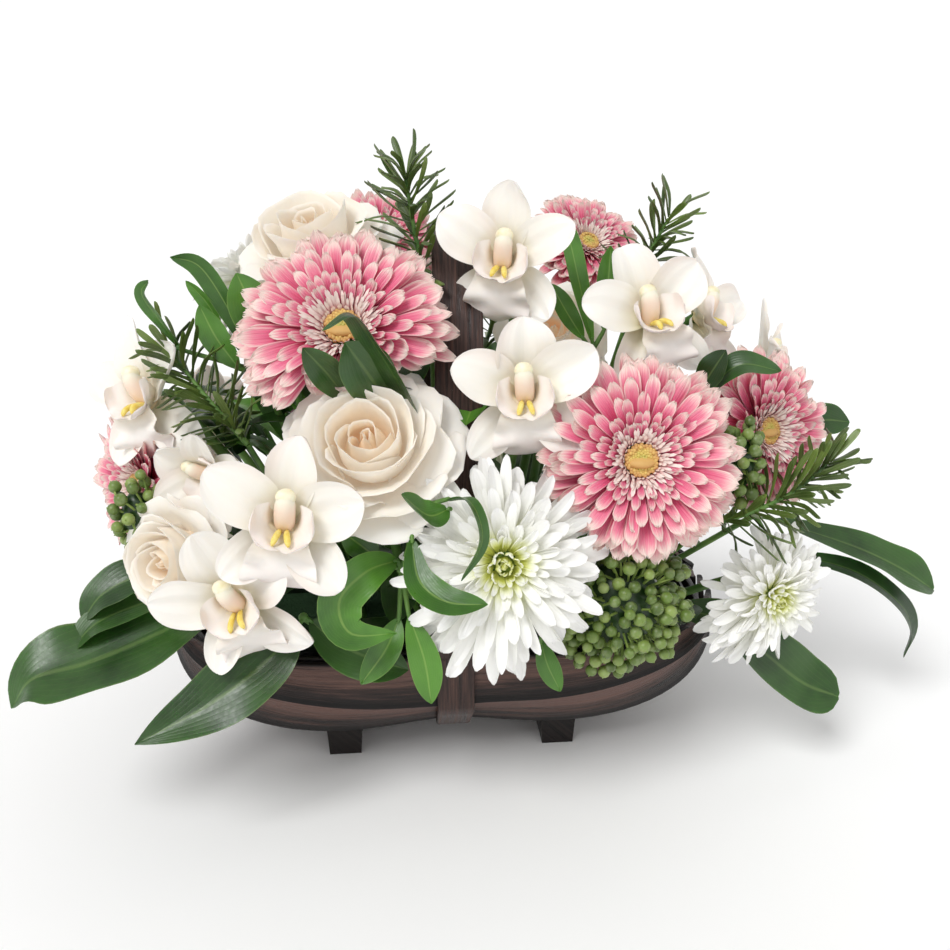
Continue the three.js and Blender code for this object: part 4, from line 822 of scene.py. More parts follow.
def rose(head, item):
    r = head.radius
    for layer, (count, span, mid, top, high, roll, spiral) in enumerate(ROSE_RINGS):
        for turn in evenly(count, 0.37 * layer):
            turn += head.jitter(0.14)
            head.blade(*rose_petal(
                r * (1 + head.jitter(0.03)), math.radians(span + head.jitter(5)), mid,
                top + head.jitter(0.03), high + head.jitter(0.03), roll * (1 + head.jitter(0.35)),
                spiral, head, layer / (len(ROSE_RINGS) - 1),
            ), turn, "rose")
    low = ROSE_FLOOR * r
    head.calyx((low - 6, low - 3, low + 1, low + 4), (3, 0.11 * r, 0.13 * r, 0.09 * r), 12)
    for turn in evenly(ROSE_SEPALS):
        head.blade(*petal(
            0.5 * r, 0.14 * r, (10, -30), SEPAL, rows=8, columns=5, cup=-0.1, start=0.06 * r, rise=low,
            twist=head.jitter(0.5),
        ), turn, "leaf_bright", 0.5)


# An orchid's sepals and petals: turn, pitch at root and tip, length and width as shares of the radius.
ORCHID_TEPALS = [
    (90, (30, 10), 1.02, 0.68, -1.0),
    (-50, (14, -8), 1.0, 0.56, -1.0),
    (-130, (14, -8), 1.0, 0.56, -1.0),
    (24, (34, 8), 1.0, 0.64, 1.0),
    (156, (34, 8), 1.0, 0.64, 1.0),
]
# The column's middle line with its radii, and the line of one of the lip's two yellow crests with its
# radii, all as shares of the radius.
COLUMN = [(0, -0.06, 0.02), (0, 0, 0.14), (0, 0.09, 0.25), (0, 0.19, 0.32), (0, 0.26, 0.34)]
COLUMN_RADII = (0.11, 0.12, 0.12, 0.115, 0.095)
CREST = [(0.04, -0.1, 0.16), (0.05, -0.14, 0.3), (0.07, -0.2, 0.38), (0.09, -0.27, 0.4)]
CREST_RADII = (0.02, 0.03, 0.036, 0.038, 0.036, 0.036, 0.03, 0.012)


def orchid(head, item):
    r = head.radius
    for turn, pitch, length, width, rise in ORCHID_TEPALS:
        head.blade(*petal(
            length * r * (1 + head.jitter(0.07)), width * r * (1 + head.jitter(0.13)),
            (pitch[0] + item.close, pitch[1] + item.close + head.jitter(18)), WIDE,
            rows=19, columns=13, cup=(0.4 + head.jitter(0.16), 0.2 + head.jitter(0.34)), groove=-0.05,
            ruffle=0.1, waves=1.3, phase=head.jitter(3), twist=head.jitter(0.45),
            reflex=head.jitter(30), start=1.5, rise=rise, chance=head.random.random(),
        ), math.radians(turn + head.jitter(6)), "orchid")
    head.blade(*petal(
        0.92 * r, 0.86 * r, (66, -78), APRON, rows=24, columns=23, cup=(0.6, -0.2), ruffle=0.2,
        waves=3.2, phase=head.jitter(3), bow=0.85, start=0.05 * r, rise=1.5,
    ), math.radians(-90), "lip")
    for turn, phase in ((-30, 0.0), (-150, 1.5)):
        head.blade(*petal(
            0.48 * r, 0.56 * r, (76, 34), LOBE, rows=14, columns=13, cup=0.5, ruffle=0.16, waves=2.2,
            phase=phase, start=0.1 * r, rise=1,
        ), math.radians(turn), "lip")
    radii = np.interp(np.linspace(0, 4, 9), range(5), COLUMN_RADII)
    head.tube(smooth_line(COLUMN, 9) * r, radii * r, "column", 14)
    head.ball(np.array([0, 0.27, 0.34]) * r, (0.115 * r, 0.09 * r, 0.1 * r), "cap", 4)
    for side in (-r, r):
        head.tube(smooth_line(CREST, 8) * [side, r, r], np.array(CREST_RADII) * r, "crest", 8)
    head.calyx((-6, -3, 0, 2), (2.4, 2.8, 3.4, 3), 10)


BERRY_SIZE = 3.2
BERRY_LAYERS = (1.0, 0.94, 0.86, 0.76)


def berries(head, item):
    """Berries on thin stalks that fan out from the middle of the bunch, round a dark ball of painted
    shade.
    """
    radii = np.array(item.radii, float)
    # Painted shade: a dark green ball fills the bunch's middle, where there is only shade between the
    # berries, so that nothing shows through.
    head.sheaf.ball(head.place, radii * 0.6, "leaf", 4, (0.6, 0.2))
    for i in range(item.count):
        z = 1 - 2 * (i + 0.5) / item.count
        turn = i * GOLDEN_TURN + head.jitter(0.1)
        flat = math.sqrt(1 - z * z)
        way = np.array([flat * math.cos(turn), flat * math.sin(turn), z]) * radii
        tip = head.place + way * BERRY_LAYERS[(i * 3) % 4] + head.random.uniform(-1, 1, 3)
        fork = head.place + way * 0.5 + head.random.uniform(-4, 4, 3)
        size = BERRY_SIZE * (1 + head.jitter(0.12))
        head.sheaf.tube(smooth_line([head.place, fork, tip], 5), [1.0, 0.9, 0.8, 0.6, 0.5], "stalk", 5)
        head.sheaf.ball(tip, size, "berry", 3, (0.5, head.random.random()))
        nub = unit(way) * size
        head.sheaf.tube([tip + nub * 0.9, tip + nub * 1.14], [0.45, 0.2], "stalk", 4)


KINDS = {"gerbera": gerbera, "mum": mum, "rose": rose, "orchid": orchid, "berries": berries}

# Stems: radius, how far the head's back lies behind its middle, and the neck behind that.
STEMS = {
    "gerbera": (3, 7, 18),
    "mum": (2.5, 8, 14),
    "rose": (3, 9, 14),
    "orchid": (3, 4, 14),
    "berries": (2.2, 2, 0),
    "leafy": (2, 0, 0),
    "rosemary": (1.5, 0, 0),
}
STEM_END = (0.5, 0.28, 66)
STEM_SPREAD = (96, 36)
STEM_POINTS = 14
STEM_SIDES = 9
STEM_TAPER = 0.92
TWIG_SIDES = 7


def stem_points(kind, place, face, foot=None):
    """From the end of a stem in the foam to a neck behind the head, and to the head's back."""
    _, back, neck = STEMS[kind]
    head, way = np.array(place, float), facing(*face)
    if foot is None:
        x, y = (np.clip(head[k] * STEM_END[k], -STEM_SPREAD[k], STEM_SPREAD[k]) for k in (0, 1))
        foot = (x, y, STEM_END[2])
    return [np.array(foot, float), head - way * (back + neck), head - way * back]


def add_stem(sheaf, kind, place, face, foot):
    """Adds a stem and gives its neck."""
    radius, _, neck = STEMS[kind]
    points = stem_points(kind, place, face, foot)
    low, *rest = points if neck else points[::2]
    line = smooth_line([low, (low + rest[0]) / 2, *rest], STEM_POINTS)
    sheaf.tube(line, np.linspace(radius, radius * STEM_TAPER, STEM_POINTS), "stem", STEM_SIDES)
    return points[1]


class Bloom(NamedTuple):
    """A bloom or bunch, or the first of a spray. more holds the rest of the spray as (place, face, size,
    roll, close), where close tips an orchid's petals forward. radii and count are a bunch's."""

    kind: str
    place: tuple
    face: tuple
    size: float
    roll: float = 0
    foot: tuple = None
    more: tuple = ()
    close: float = 0
    radii: tuple = ()
    count: int = 0
    trim: tuple = ()


BLOOMS = {
    "gerbera_front": Bloom("gerbera", (90, -116, 204), (-2, 20), 106),
    "mum_front": Bloom("mum", (21, -134, 160), (-4, 14), 110),
    "rose_front": Bloom("rose", (-41, -100, 206), (-8, 42), 98, 30),
    "orchid_spray_left_front": Bloom(
        "orchid", (-82, -126, 182), (2, 22), 84, -8, close=6,
        more=[((-108, -122, 140), (-8, 8), 80, 20, 0)],
    ),
    "gerbera_upper_left": Bloom("gerbera", (-53, -80, 264), (-6, 38), 114, trim=(-72, 62, 0.6)),
    "orchid_spray_middle": Bloom(
        "orchid", (35, -98, 234), (-8, 18), 80, 4, more=[((29, -54, 292), (-12, 20), 80, -6, 0)]
    ),
    "orchid_spray_right": Bloom(
        "orchid", (103, -62, 262), (14, 34), 80, 12, more=[((142, -24, 256), (52, 26), 78, -20, 0)]
    ),
    "orchid_spray_left": Bloom(
        "orchid", (-157, -46, 222), (-38, 22), 84, 18, foot=(-58, -4, 74),
        more=[((-124, -76, 190), (-24, 8), 62, 60, 22)],
    ),
    "gerbera_right": Bloom("gerbera", (174, -62, 200), (26, 16), 96),
    "gerbera_left": Bloom("gerbera", (-168, -44, 172), (-50, 8), 98, foot=(-94, -18, 66)),
    "rose_left": Bloom("rose", (-139, -98, 152), (-30, 12), 72),
    "rose_top": Bloom("rose", (-68, -20, 292), (-30, 64), 92, 10),
    "mum_right": Bloom("mum", (172, -98, 118), (20, -4), 84),
    "gerbera_top": Bloom("gerbera", (-36, 26, 296), (12, 50), 78),
    "gerbera_top_right": Bloom("gerbera", (88, 24, 292), (20, 45), 78),
    "rose_behind": Bloom("rose", (60, -26, 248), (-6, 30), 66),
    "orchid_back_right": Bloom("orchid", (192, -2, 222), (70, 24), 74),
    "mum_back_left": Bloom("mum", (-108, 14, 276), (-140, 44), 74),
    "gerbera_back": Bloom("gerbera", (-78, 86, 204), (-160, 28), 92),
    "rose_back": Bloom("rose", (78, 84, 206), (160, 34), 80),
    "mum_back": Bloom("mum", (44, 112, 150), (172, 18), 92),
    "orchid_spray_back": Bloom(
        "orchid", (-146, 52, 176), (-130, 22), 80, foot=(-60, 20, 70),
        more=[((-18, 70, 244), (178, 34), 80, 0, 0)],
    ),
    "berries_front": Bloom(
        "berries", (86, -108, 122), (0, 10), 0, foot=(66, -14, 64), radii=(38, 27, 40), count=250
    ),
    "berries_right": Bloom(
        "berries", (150, -92, 192), (20, 10), 0, foot=(84, -20, 92), radii=(13, 12, 24), count=40
    ),
    "berries_left": Bloom("berries", (-162, -82, 170), (-40, 10), 0, radii=(14, 12, 22), count=36),
}


def make_bloom(name, item, seed):
    sheaf = Sheaf()
    neck = add_stem(sheaf, item.kind, item.place, item.face, item.foot)
    draw = KINDS[item.kind]
    draw(Head(sheaf, item.place, item.face, item.size, item.roll, seed), item)
    for k, (place, face, size, roll, close) in enumerate(item.more):
        _, *ends = stem_points(item.kind, place, face)
        sheaf.tube(smooth_line([neck, *ends], 8), np.linspace(2.8, 2.4, 8), "stem", 8)
        draw(Head(sheaf, place, face, size, roll, seed + 1 + k), item._replace(close=close))
    sheaf.piece(f"{name}_bloom", item.kind, name)


# Leaves: a form's numbers are those of outline

LEAF_FORMS = {
    "oval": (0.06, 0.62, 2.1, 0.8),
    "broad": (0.06, 0.5, 2.3, 1.0),
    "blunt": (0.08, 0.5, 6.0, 0.6),
    "narrow": (0.08, 0.6, 2.0, 0.85),
}


def leaf(sheaf, line, width, form, up, random, material, rows=26, columns=9):
    """A leaf's blade along its midrib, whose upper face looks towards up."""
    line = smooth_line(line, rows)
    t = np.linspace(0, 1, rows) * TIP_ROW
    along = unit(np.gradient(line, axis=0))
    across = carried(np.cross(facing(*up), along[0]), along)
    normal = np.cross(along, across)
    half = (outline(t, *LEAF_FORMS[form]) * width / 2)[:, None]
    t = t[:, None]
    v = np.linspace(-1, 1, columns)[None, :]
    phase, swing = random.uniform(0, 6), random.uniform(0.05, 0.11)
    wave = swing * np.sin(FULL_TURN * (1.6 + width / 40) * t + phase + 2 * (v > 0))
    lift = half * (0.24 * np.abs(v) ** 1.3 + wave * v**2) - 0.4 * np.exp(-((v / 0.14) ** 2))
    grid = line[:, None] + across[:, None] * (half * v)[..., None] + normal[:, None] * lift[..., None]
    sheaf.blade(grid, toned(t, np.abs(v), random.random()), material)


# Leafy stems: place of the node where the leaves join, foot in the foam, brightness, and the leaves as
# (line, width, form, up).
LEAFY = {
    "leaves_left": ((-126, -86, 118), (-88, -40, 64), "leaf", [
        ([(-123, -88, 123), (-153, -105, 114), (-186, -118, 106), (-211, -124, 102), (-222, -128, 88)],
         46, "broad", (-10, 60)),
        ([(-132, -84, 129), (-158, -96, 128), (-183, -104, 121), (-197, -110, 108)],
         20, "oval", (-20, 60)),
        ([(-135, -78, 138), (-162, -90, 140), (-181, -96, 133), (-192, -100, 120)],
         22, "oval", (-20, 50)),
    ]),
    "leaf_front_left": ((-79, -108, 121), (-56, -42, 60), "leaf", [
        ([(-81, -112, 119), (-100, -122, 102), (-126, -132, 87), (-161, -142, 73)], 34, "broad", (0, 45)),
        ([(-76, -106, 118), (-62, -110, 106), (-44, -114, 98), (-26, -116, 92)], 26, "oval", (0, 40)),
    ]),
    "leaves_right": ((186, -34, 138), None, "leaf", [
        ([(197, -38, 136), (246, -42, 119), (276, -46, 105), (298, -50, 91)], 28, "blunt", (10, 55)),
        ([(199, -40, 116), (246, -44, 104), (276, -50, 84), (287, -52, 65), (284, -54, 46)], 17, "narrow",
         (10, 55)),
    ]),
    "leaf_right_broad": ((124, -70, 96), (88, -44, 72), "leaf", [
        ([(128, -72, 98), (154, -80, 93), (178, -84, 74), (203, -88, 54), (224, -92, 46)], 36, "blunt",
         (0, 50)),
        ([(128, -76, 100), (128, -92, 106), (122, -102, 104)], 18, "oval", (0, 40)),
    ]),
    "leaves_folded": ((-20, -82, 200), None, "leaf", [
        ([(-11, -90, 203), (-24, -103, 236), (-37, -113, 262), (-48, -117, 278), (-60, -123, 272)], 20,
         "narrow", (-50, 20)),
        ([(-29, -90, 224), (-41, -104, 247), (-51, -110, 264)], 26, "oval", (10, 10)),
        ([(-52, -94, 232), (-60, -106, 248), (-70, -116, 263)], 16, "oval", (0, 20)),
    ]),
    "leaves_upper_right": ((127, -70, 216), (70, -8, 88), "leaf", [
        ([(127, -78, 223), (134, -82, 239), (140, -84, 251)], 15, "oval", (-40, 20)),
        ([(131, -80, 225), (147, -84, 243), (168, -90, 241)], 14, "oval", (0, 60)),
    ]),
    "leaf_far_right": ((196, -38, 190), (96, -6, 82), "leaf", [
        ([(202, -40, 193), (218, -38, 198), (236, -36, 196)], 20, "oval", (10, 40)),
    ]),
    "leaves_upper_left": ((-98, -56, 238), None, "leaf_bright", [
        ([(-83, -62, 244), (-97, -60, 268), (-106, -58, 289)], 24, "oval", (0, 10)),
        ([(-105, -58, 253), (-112, -56, 271), (-124, -56, 292), (-138, -56, 297)],
         12, "narrow", (-30, 40)),
        ([(-108, -62, 241), (-118, -62, 257), (-125, -62, 274)], 15, "oval", (-10, 10)),
        ([(-116, -54, 260), (-123, -54, 274), (-132, -54, 285)], 8, "oval", (-30, 20)),
        ([(-136, -60, 251), (-145, -62, 266), (-152, -64, 280), (-148, -64, 287)], 9, "oval", (-50, 20)),
    ]),
    "leaves_middle_right": ((78, -50, 244), None, "leaf_bright", [
        ([(78, -52, 248), (70, -50, 280), (64, -48, 303), (58, -46, 316)], 11, "narrow", (10, 10)),
        ([(84, -50, 255), (86, -46, 279), (87, -44, 299)], 12, "oval", (-20, 10)),
        ([(72, -56, 252), (62, -58, 267), (53, -60, 282)], 11, "oval", (0, 20)),
    ]),
    "leaves_front": ((-28, -112, 148), None, "leaf_bright", [
        ([(-30, -118, 156), (-45, -130, 156), (-58, -138, 145), (-53, -143, 130), (-31, -141, 128)], 22,
         "broad", (-10, 20)),
        ([(-39, -112, 154), (-48, -118, 165), (-56, -122, 174)], 14, "oval", (0, 20)),
        ([(-23, -132, 174), (-20, -147, 159), (-8, -156, 152), (11, -159, 151)], 16, "oval", (0, 50)),
        ([(-30, -122, 126), (-37, -130, 113), (-50, -134, 96)], 15, "oval", (0, 30)),
        ([(-25, -124, 128), (-18, -132, 107), (-15, -136, 84)], 16, "oval", (0, 20)),
    ]),
    "leaf_front_arc": ((-20, -120, 184), (-34, -38, 72), "leaf_bright", [
        ([(-5, -134, 189), (-15, -143, 190), (-27, -149, 203)], 15, "oval", (0, 40)),
        ([(-6, -132, 193), (4, -148, 198), (9, -156, 182), (-1, -158, 163)], 8, "narrow", (40, 40)),
    ]),
    "leaves_mum": ((48, -108, 130), (30, -36, 86), "leaf_bright", [
        ([(64, -118, 174), (56, -126, 167), (54, -130, 155)], 13, "oval", (0, 30)),
        ([(44, -112, 104), (47, -118, 92), (54, -120, 77)], 12, "oval", (0, 30)),
    ]),
    "leaves_back_left": ((-108, 76, 128), None, "leaf", [
        ([(-112, 80, 128), (-146, 104, 112), (-176, 118, 96), (-196, 124, 78)], 34, "blunt", (-170, 55)),
        ([(-90, 82, 124), (-84, 118, 112), (-88, 144, 88)], 24, "oval", (180, 50)),
    ]),
    "leaves_back_right": ((106, 76, 128), None, "leaf", [
        ([(110, 80, 128), (150, 100, 118), (184, 112, 96), (204, 118, 74)], 32, "blunt", (170, 55)),
        ([(88, 82, 124), (72, 120, 112), (64, 146, 86)], 24, "oval", (180, 50)),
    ]),
    "leaves_collar_front": ((-10, -63, 96), (-10, -42, 88), "leaf", [
        ([(-14, -70, 93), (-38, -76, 93), (-62, -74, 92)], 19, "narrow", (0, 70)),
        ([(-6, -70, 93), (30, -76, 94), (66, -73, 93)], 19, "narrow", (0, 70)),
    ]),
    "leaves_collar_back": ((12, 64, 98), (12, 40, 92), "leaf", [
        ([(16, 68, 99), (52, 86, 98), (100, 92, 90)], 22, "narrow", (180, 70)),
        ([(8, 68, 99), (-34, 86, 98), (-78, 94, 90)], 22, "narrow", (180, 70)),
    ]),
}
LEAFY_FACE = (0, 60)
JOINT_RADIUS = 2.6


def make_leafy(name, place, foot, material, leaves, seed):
    sheaf = Sheaf()
    random = np.random.default_rng(seed)
    add_stem(sheaf, "leafy", place, LEAFY_FACE, foot)
    sheaf.ball(place, JOINT_RADIUS, "stem", 3)
    for line, width, form, up in leaves:
        leaf(sheaf, line, width, form, up, random, material)
        over = np.array(line[0]) * 0.88 + np.array(line[1]) * 0.12
        sheaf.tube(smooth_line([place, line[0], over], 6), np.linspace(1.5, 0.8, 6), "stem", TWIG_SIDES)
    sheaf.piece(f"{name}_foliage", "leafy" if material == "leaf" else "leafy_bright", name)


# Rosemary: the line of a sprig, its foot and its number of needles.
SPRIGS = {
    "rosemary_top": ([(-8, -34, 268), (-14, -34, 296), (-18, -34, 320), (-20, -36, 335)], None, 64),
    "rosemary_top_right": ([(112, -8, 270), (118, -8, 290), (128, -10, 312)], None, 48),
    "rosemary_right": (
        [(132, -98, 160), (160, -98, 168), (184, -90, 176), (206, -80, 188)], (92, -46, 84), 80,
    ),
    "rosemary_left": (
        [(-104, -80, 206), (-116, -76, 220), (-130, -68, 236), (-142, -60, 250)], None, 76,
    ),
    "rosemary_back": ([(30, 78, 210), (38, 88, 234), (44, 94, 262)], None, 48),
}
NEEDLE_LENGTH = 33
NEEDLE_WIDTH = 3.8
NEEDLE_FORM = (0.5, 0.5, 9.0, 0.5)
NEEDLE_ROWS = 9
NEEDLE_COLUMNS = 5
SPRIG_POINTS = 60


def add_needle(sheaf, root, axis, out, share, random):
    """A needle that grows from a sprig, whose way is axis, out to one side of it."""
    lean = math.radians(66 - 40 * share**2 + random.uniform(-14, 14))
    length = NEEDLE_LENGTH * (1 - 0.25 * share) * random.uniform(0.75, 1.1)
    points = [root]
    for angle in (lean, lean + random.uniform(-0.3, 0.75)):
        points.append(points[-1] + (out * math.sin(angle) + axis * math.cos(angle)) * length * 0.5)
    t = crowded(NEEDLE_ROWS, 1.6) * TIP_ROW
    centre = line_at(t, np.linspace(0, 1, NEEDLE_ROWS), smooth_line(points, NEEDLE_ROWS))
    tangent = unit(np.gradient(centre, axis=0))
    across = unit(np.cross(axis, tangent))
    normal = np.cross(tangent, across)
    v = np.linspace(-1, 1, NEEDLE_COLUMNS)[None, :]
    half = (outline(t, *NEEDLE_FORM) * NEEDLE_WIDTH / 2)[:, None]
    aside, lift = (half * v)[..., None], (-0.5 * half * v**2)[..., None]
    grid = centre[:, None] + across[:, None] * aside + normal[:, None] * lift
    sheaf.blade(grid, toned(t[:, None], np.abs(v), random.random()), "needle")


def make_sprig(name, line, foot, needles, seed):
    sheaf = Sheaf()
    random = np.random.default_rng(seed)
    way = unit(np.array(line[1], float) - line[0])
    add_stem(sheaf, "rosemary", line[0], (azimuth_of(way), math.degrees(math.asin(way[2]))), foot)
    dense = smooth_line(line, SPRIG_POINTS)
    sheaf.tube(dense[::4], np.linspace(1.6, 0.8, 15), "stem", TWIG_SIDES)
    along = unit(np.gradient(dense, axis=0))
    for i in range(needles):
        share = 0.06 + 0.93 * i / (needles - 1)
        k = min(int(share * SPRIG_POINTS), SPRIG_POINTS - 1)
        side = unit(np.cross(along[k], [0.3, 0.2, 1]))
        other = np.cross(along[k], side)
        turn = (i // 2) * math.pi / 2 + (i % 2) * math.pi + random.uniform(-0.5, 0.5)
        out = side * math.cos(turn) + other * math.sin(turn)
        add_needle(sheaf, dense[k], along[k], out, share, random)
    sheaf.piece(f"{name}_sprig", "rosemary", name)


# The trug


def shell_size(way):
    plan = abs(way[0]) ** PLAN_POWER + abs(way[1]) ** PLAN_POWER
    return (plan ** (SECTION_POWER / PLAN_POWER) + abs(way[2]) ** SECTION_POWER) ** (-1 / SECTION_POWER)


def shell_point(along, turn):
    """A point inside the boards: along runs from end to end, and turn from rim to rim round the keel."""
    reach = abs(along)
    fan = END_FAN * turn / (math.pi / 2)
    start = np.array([0, -math.sin(turn), math.cos(turn)])
    end = np.array([math.cos(fan), -math.sin(fan), 0])
    angle = math.acos(float(np.clip(start @ end, -1, 1)))
    way = unit(start * math.sin((1 - reach) * angle) + end * math.sin(reach * angle))
    size = shell_size(way)
    x = math.copysign(HALF_LENGTH * way[0] * size, along)
    pinch = size * (1 - WAIST * math.exp(-((x / WAIST_REACH) ** 2)))
    depth = (RIM_HEIGHT - FLOOR_HEIGHT) * way[2] * pinch
    return np.array([x, HALF_WIDTH * way[1] * pinch, RIM_HEIGHT - depth])


BANDS = {"board_bottom": (-BOARD_EDGES[0], BOARD_EDGES[0], 0, 0)}
BOARD_PARTS = ("low", "mid", "top")
for part, low, high in zip(BOARD_PARTS, BOARD_EDGES, BOARD_EDGES[1:]):
    BANDS[f"board_front_{part}"] = (low, high, LAP, LAP_LIFT)
    BANDS[f"board_back_{part}"] = (-low, -high, LAP, LAP_LIFT)

BOARD_STATIONS = 61
BOARD_BELLY = 1.1
BELLY_REACH = 0.8
EDGE_ROUND = 1.1
EDGE_STEPS = 3
BOARD_FACES = 5
HOOP_FACES = 4
HOOP_STEP = 6
HOOP_ARCH_POINTS = 57
RIM_SIDE_POINTS = 41
RIM_END_POINTS = 15


def board_corners(band, along):
    """The inside low, outside low, outside high and inside high corners of a board at a station."""
    low_turn, high_turn, lap, lift = band
    low, high = shell_point(along, low_turn), shell_point(along, high_turn)
    middle = (low_turn + high_turn) / 2
    up = unit(high - low)
    run = shell_point(min(along + 0.01, 1), middle) - shell_point(max(along - 0.01, -1), middle)
    out = unit(np.cross(run, up) * math.copysign(1, high_turn - low_turn))
    low = low - up * lap + out * lift
    return np.array([low, low + out * BOARD_THICK, high + out * BOARD_THICK, high])


def rounded(corners, faces):
    """A closed section with its corners rounded and its long sides cut into a few faces."""
    points = []
    for here, before, after in zip(corners, np.roll(corners, 1, axis=0), np.roll(corners, -1, axis=0)):
        back, ahead = unit(before - here) * EDGE_ROUND, unit(after - here) * EDGE_ROUND
        for turn in np.linspace(0, math.pi / 2, EDGE_STEPS + 1):
            points.append(here + back * (1 - math.sin(turn)) + ahead * (1 - math.cos(turn)))
        if np.linalg.norm(after - here) > 3 * BOARD_THICK:
            points += [here + (after - here) * i / faces for i in range(1, faces)]
    return np.array(points)


def make_board(name, band, seed):
    """A lapped board with slightly uneven split edges."""
    random = np.random.default_rng(seed)
    phases = random.uniform(0, 6, 4)
    chance = random.random()
    rings, tones = [], []
    for along in np.linspace(-1, 1, BOARD_STATIONS):
        corners = board_corners(band, along)
        up = unit(corners[2] - corners[1])
        out = unit(corners[1] - corners[0])
        dip = 0.5 * math.sin(5 * along + phases[0]) + 0.3 * math.sin(13 * along + phases[1])
        rise = 0.25 * math.sin(7 * along + phases[2])
        corners = corners + np.outer([dip, dip, rise, rise], up)
        ring = rounded(corners, BOARD_FACES)
        share = (ring - corners[0]) @ up / ((corners[3] - corners[0]) @ up)
        belly = BOARD_BELLY * np.sin(np.pi * np.clip(share / BELLY_REACH, 0, 1))
        belly[(ring - corners[0]) @ out < BOARD_THICK / 2] = 0
        swell = belly + 0.12 * math.sin(9 * along + phases[3])
        rings.append(ring + out * swell[:, None])
        tones.append(toned(along * 1.7, share, chance))
    order = -1 if band[1] > band[0] else 1
    sheaf = Sheaf()
    sheaf.loft(np.array(rings)[:, ::order], np.array(tones)[:, ::order], "board")
    sheaf.piece(f"{name}_wood", "board", name)


def make_hoop(name, line, outs, halves, thick, slot, material, seed):
    """A closed hoop of bent wood: its middle line, the way out at each point and its half width."""
    chance = np.random.default_rng(seed).random()
    rings, tones = [], []
    run = np.cumsum(np.linalg.norm(np.diff(line, axis=0, prepend=line[-1:]), axis=1)) / 100
    for point, out, half, travelled in zip(line, outs, halves, run):
        flat = out * thick / 2
        ring = rounded(point + np.array([flat - half, flat + half, half - flat, -flat - half]), HOOP_FACES)
        across = (ring - point) @ unit(half) / np.linalg.norm(half) / 2 + 0.5
        rings.append(ring)
        tones.append(toned(travelled, across, chance))
    sheaf = Sheaf()
    sheaf.loft(np.array(rings)[:, ::-1], np.array(tones)[:, ::-1], material, closed=True)
    sheaf.piece(f"{name}_wood", slot, name)


def resample(points, spacing):
    """A closed line through the points, cut evenly."""
    looped = np.vstack([points, points[:1]])
    lengths = np.concatenate([[0], np.cumsum(np.linalg.norm(np.diff(looped, axis=0), axis=1))])
    return line_at(np.arange(0, lengths[-1], spacing), lengths, looped)


def make_handle():
    away = CLEAR + HOOP_SLACK + HOOP_THICK / 2

    def outside(name, corner):
        corners = board_corners(BANDS[name], 0)
        return corners[corner] + unit(corners[1] - corners[0]) * away

    line = [outside("board_front_top", 2)]
    line += [outside(f"board_front_{part}", 1) for part in BOARD_PARTS[::-1]]
    line += [outside(f"board_back_{part}", 1) for part in BOARD_PARTS]
    line += [outside("board_back_top", 2)]
    side = line[-1][1]
    for angle in np.linspace(0, math.pi, HOOP_ARCH_POINTS)[1:-1]:
        y = math.copysign(side * abs(math.cos(angle)) ** (2 / HOOP_POWER), math.cos(angle))
        rise = math.sin(angle) ** (2 / HOOP_POWER)
        line.append(np.array([HOOP_LEAN * rise, y, RIM_HEIGHT + (HOOP_TOP - RIM_HEIGHT) * rise]))
    line = resample(np.array(line), HOOP_STEP)
    outs = unit(np.cross(loop_ways(line), [1, 0, 0]))
    widths = np.interp(line[:, 2], [line[:, 2].min(), HOOP_TOP], HOOP_WIDTHS)
    halves = np.outer(widths / 2, [1, 0, 0])
    make_hoop("handle_hoop", line, outs, halves, HOOP_THICK, "board", "strap", HANDLE_SEED)


def make_rim():
    side = np.linspace(-1, 1, RIM_SIDE_POINTS)
    fan = np.linspace(math.pi / 2, -math.pi / 2, RIM_END_POINTS)[1:-1]
    top = [shell_point(along, math.pi / 2) for along in side]
    top += [shell_point(1, turn) for turn in fan]
    top += [shell_point(-along, -math.pi / 2) for along in side]
    top += [shell_point(-1, -turn) for turn in fan]
    top = np.array(top)
    outs = unit(np.cross(loop_ways(top), UP))
    near = np.exp(-((top[:, 0] / WAIST_REACH) ** 2))
    lean = RIM_BAND * (RIM_BAND_SLOPES[0] + (RIM_BAND_SLOPES[1] - RIM_BAND_SLOPES[0]) * near)
    inward = RIM_BAND_GAP + RIM_BAND_THICK / 2 + lean / 2
    middle = top - outs * inward[:, None] - UP * (RIM_BAND - 1) / 2
    halves = outs * (lean / 2)[:, None] + UP * (RIM_BAND + 1) / 2
    # The rim takes the near-black wood: dark stain and painted shade.
    make_hoop("rim_hoop", middle, outs, halves, RIM_BAND_THICK, "board_dark", "board_dark", RIM_SEED)


# Filling leaves, which stand in the foam between the stems: a ring of low leaves, and stems whose leaves
# reach up under the dome of blooms.

FILLERS = 70
FILL_RING = (104, 46, 104)
FILL_STEMS = 16
FILL_DOME = (122, 66, 236)
FILL_FOOT = (96, 36, 66)
FILL_LEAVES = 5
FILL_COLUMNS = 7


def fill_up(azimuth, steep):
    """Where the upper face of a leaf looks that rises at steep degrees."""
    return azimuth, 80 - steep * 0.8


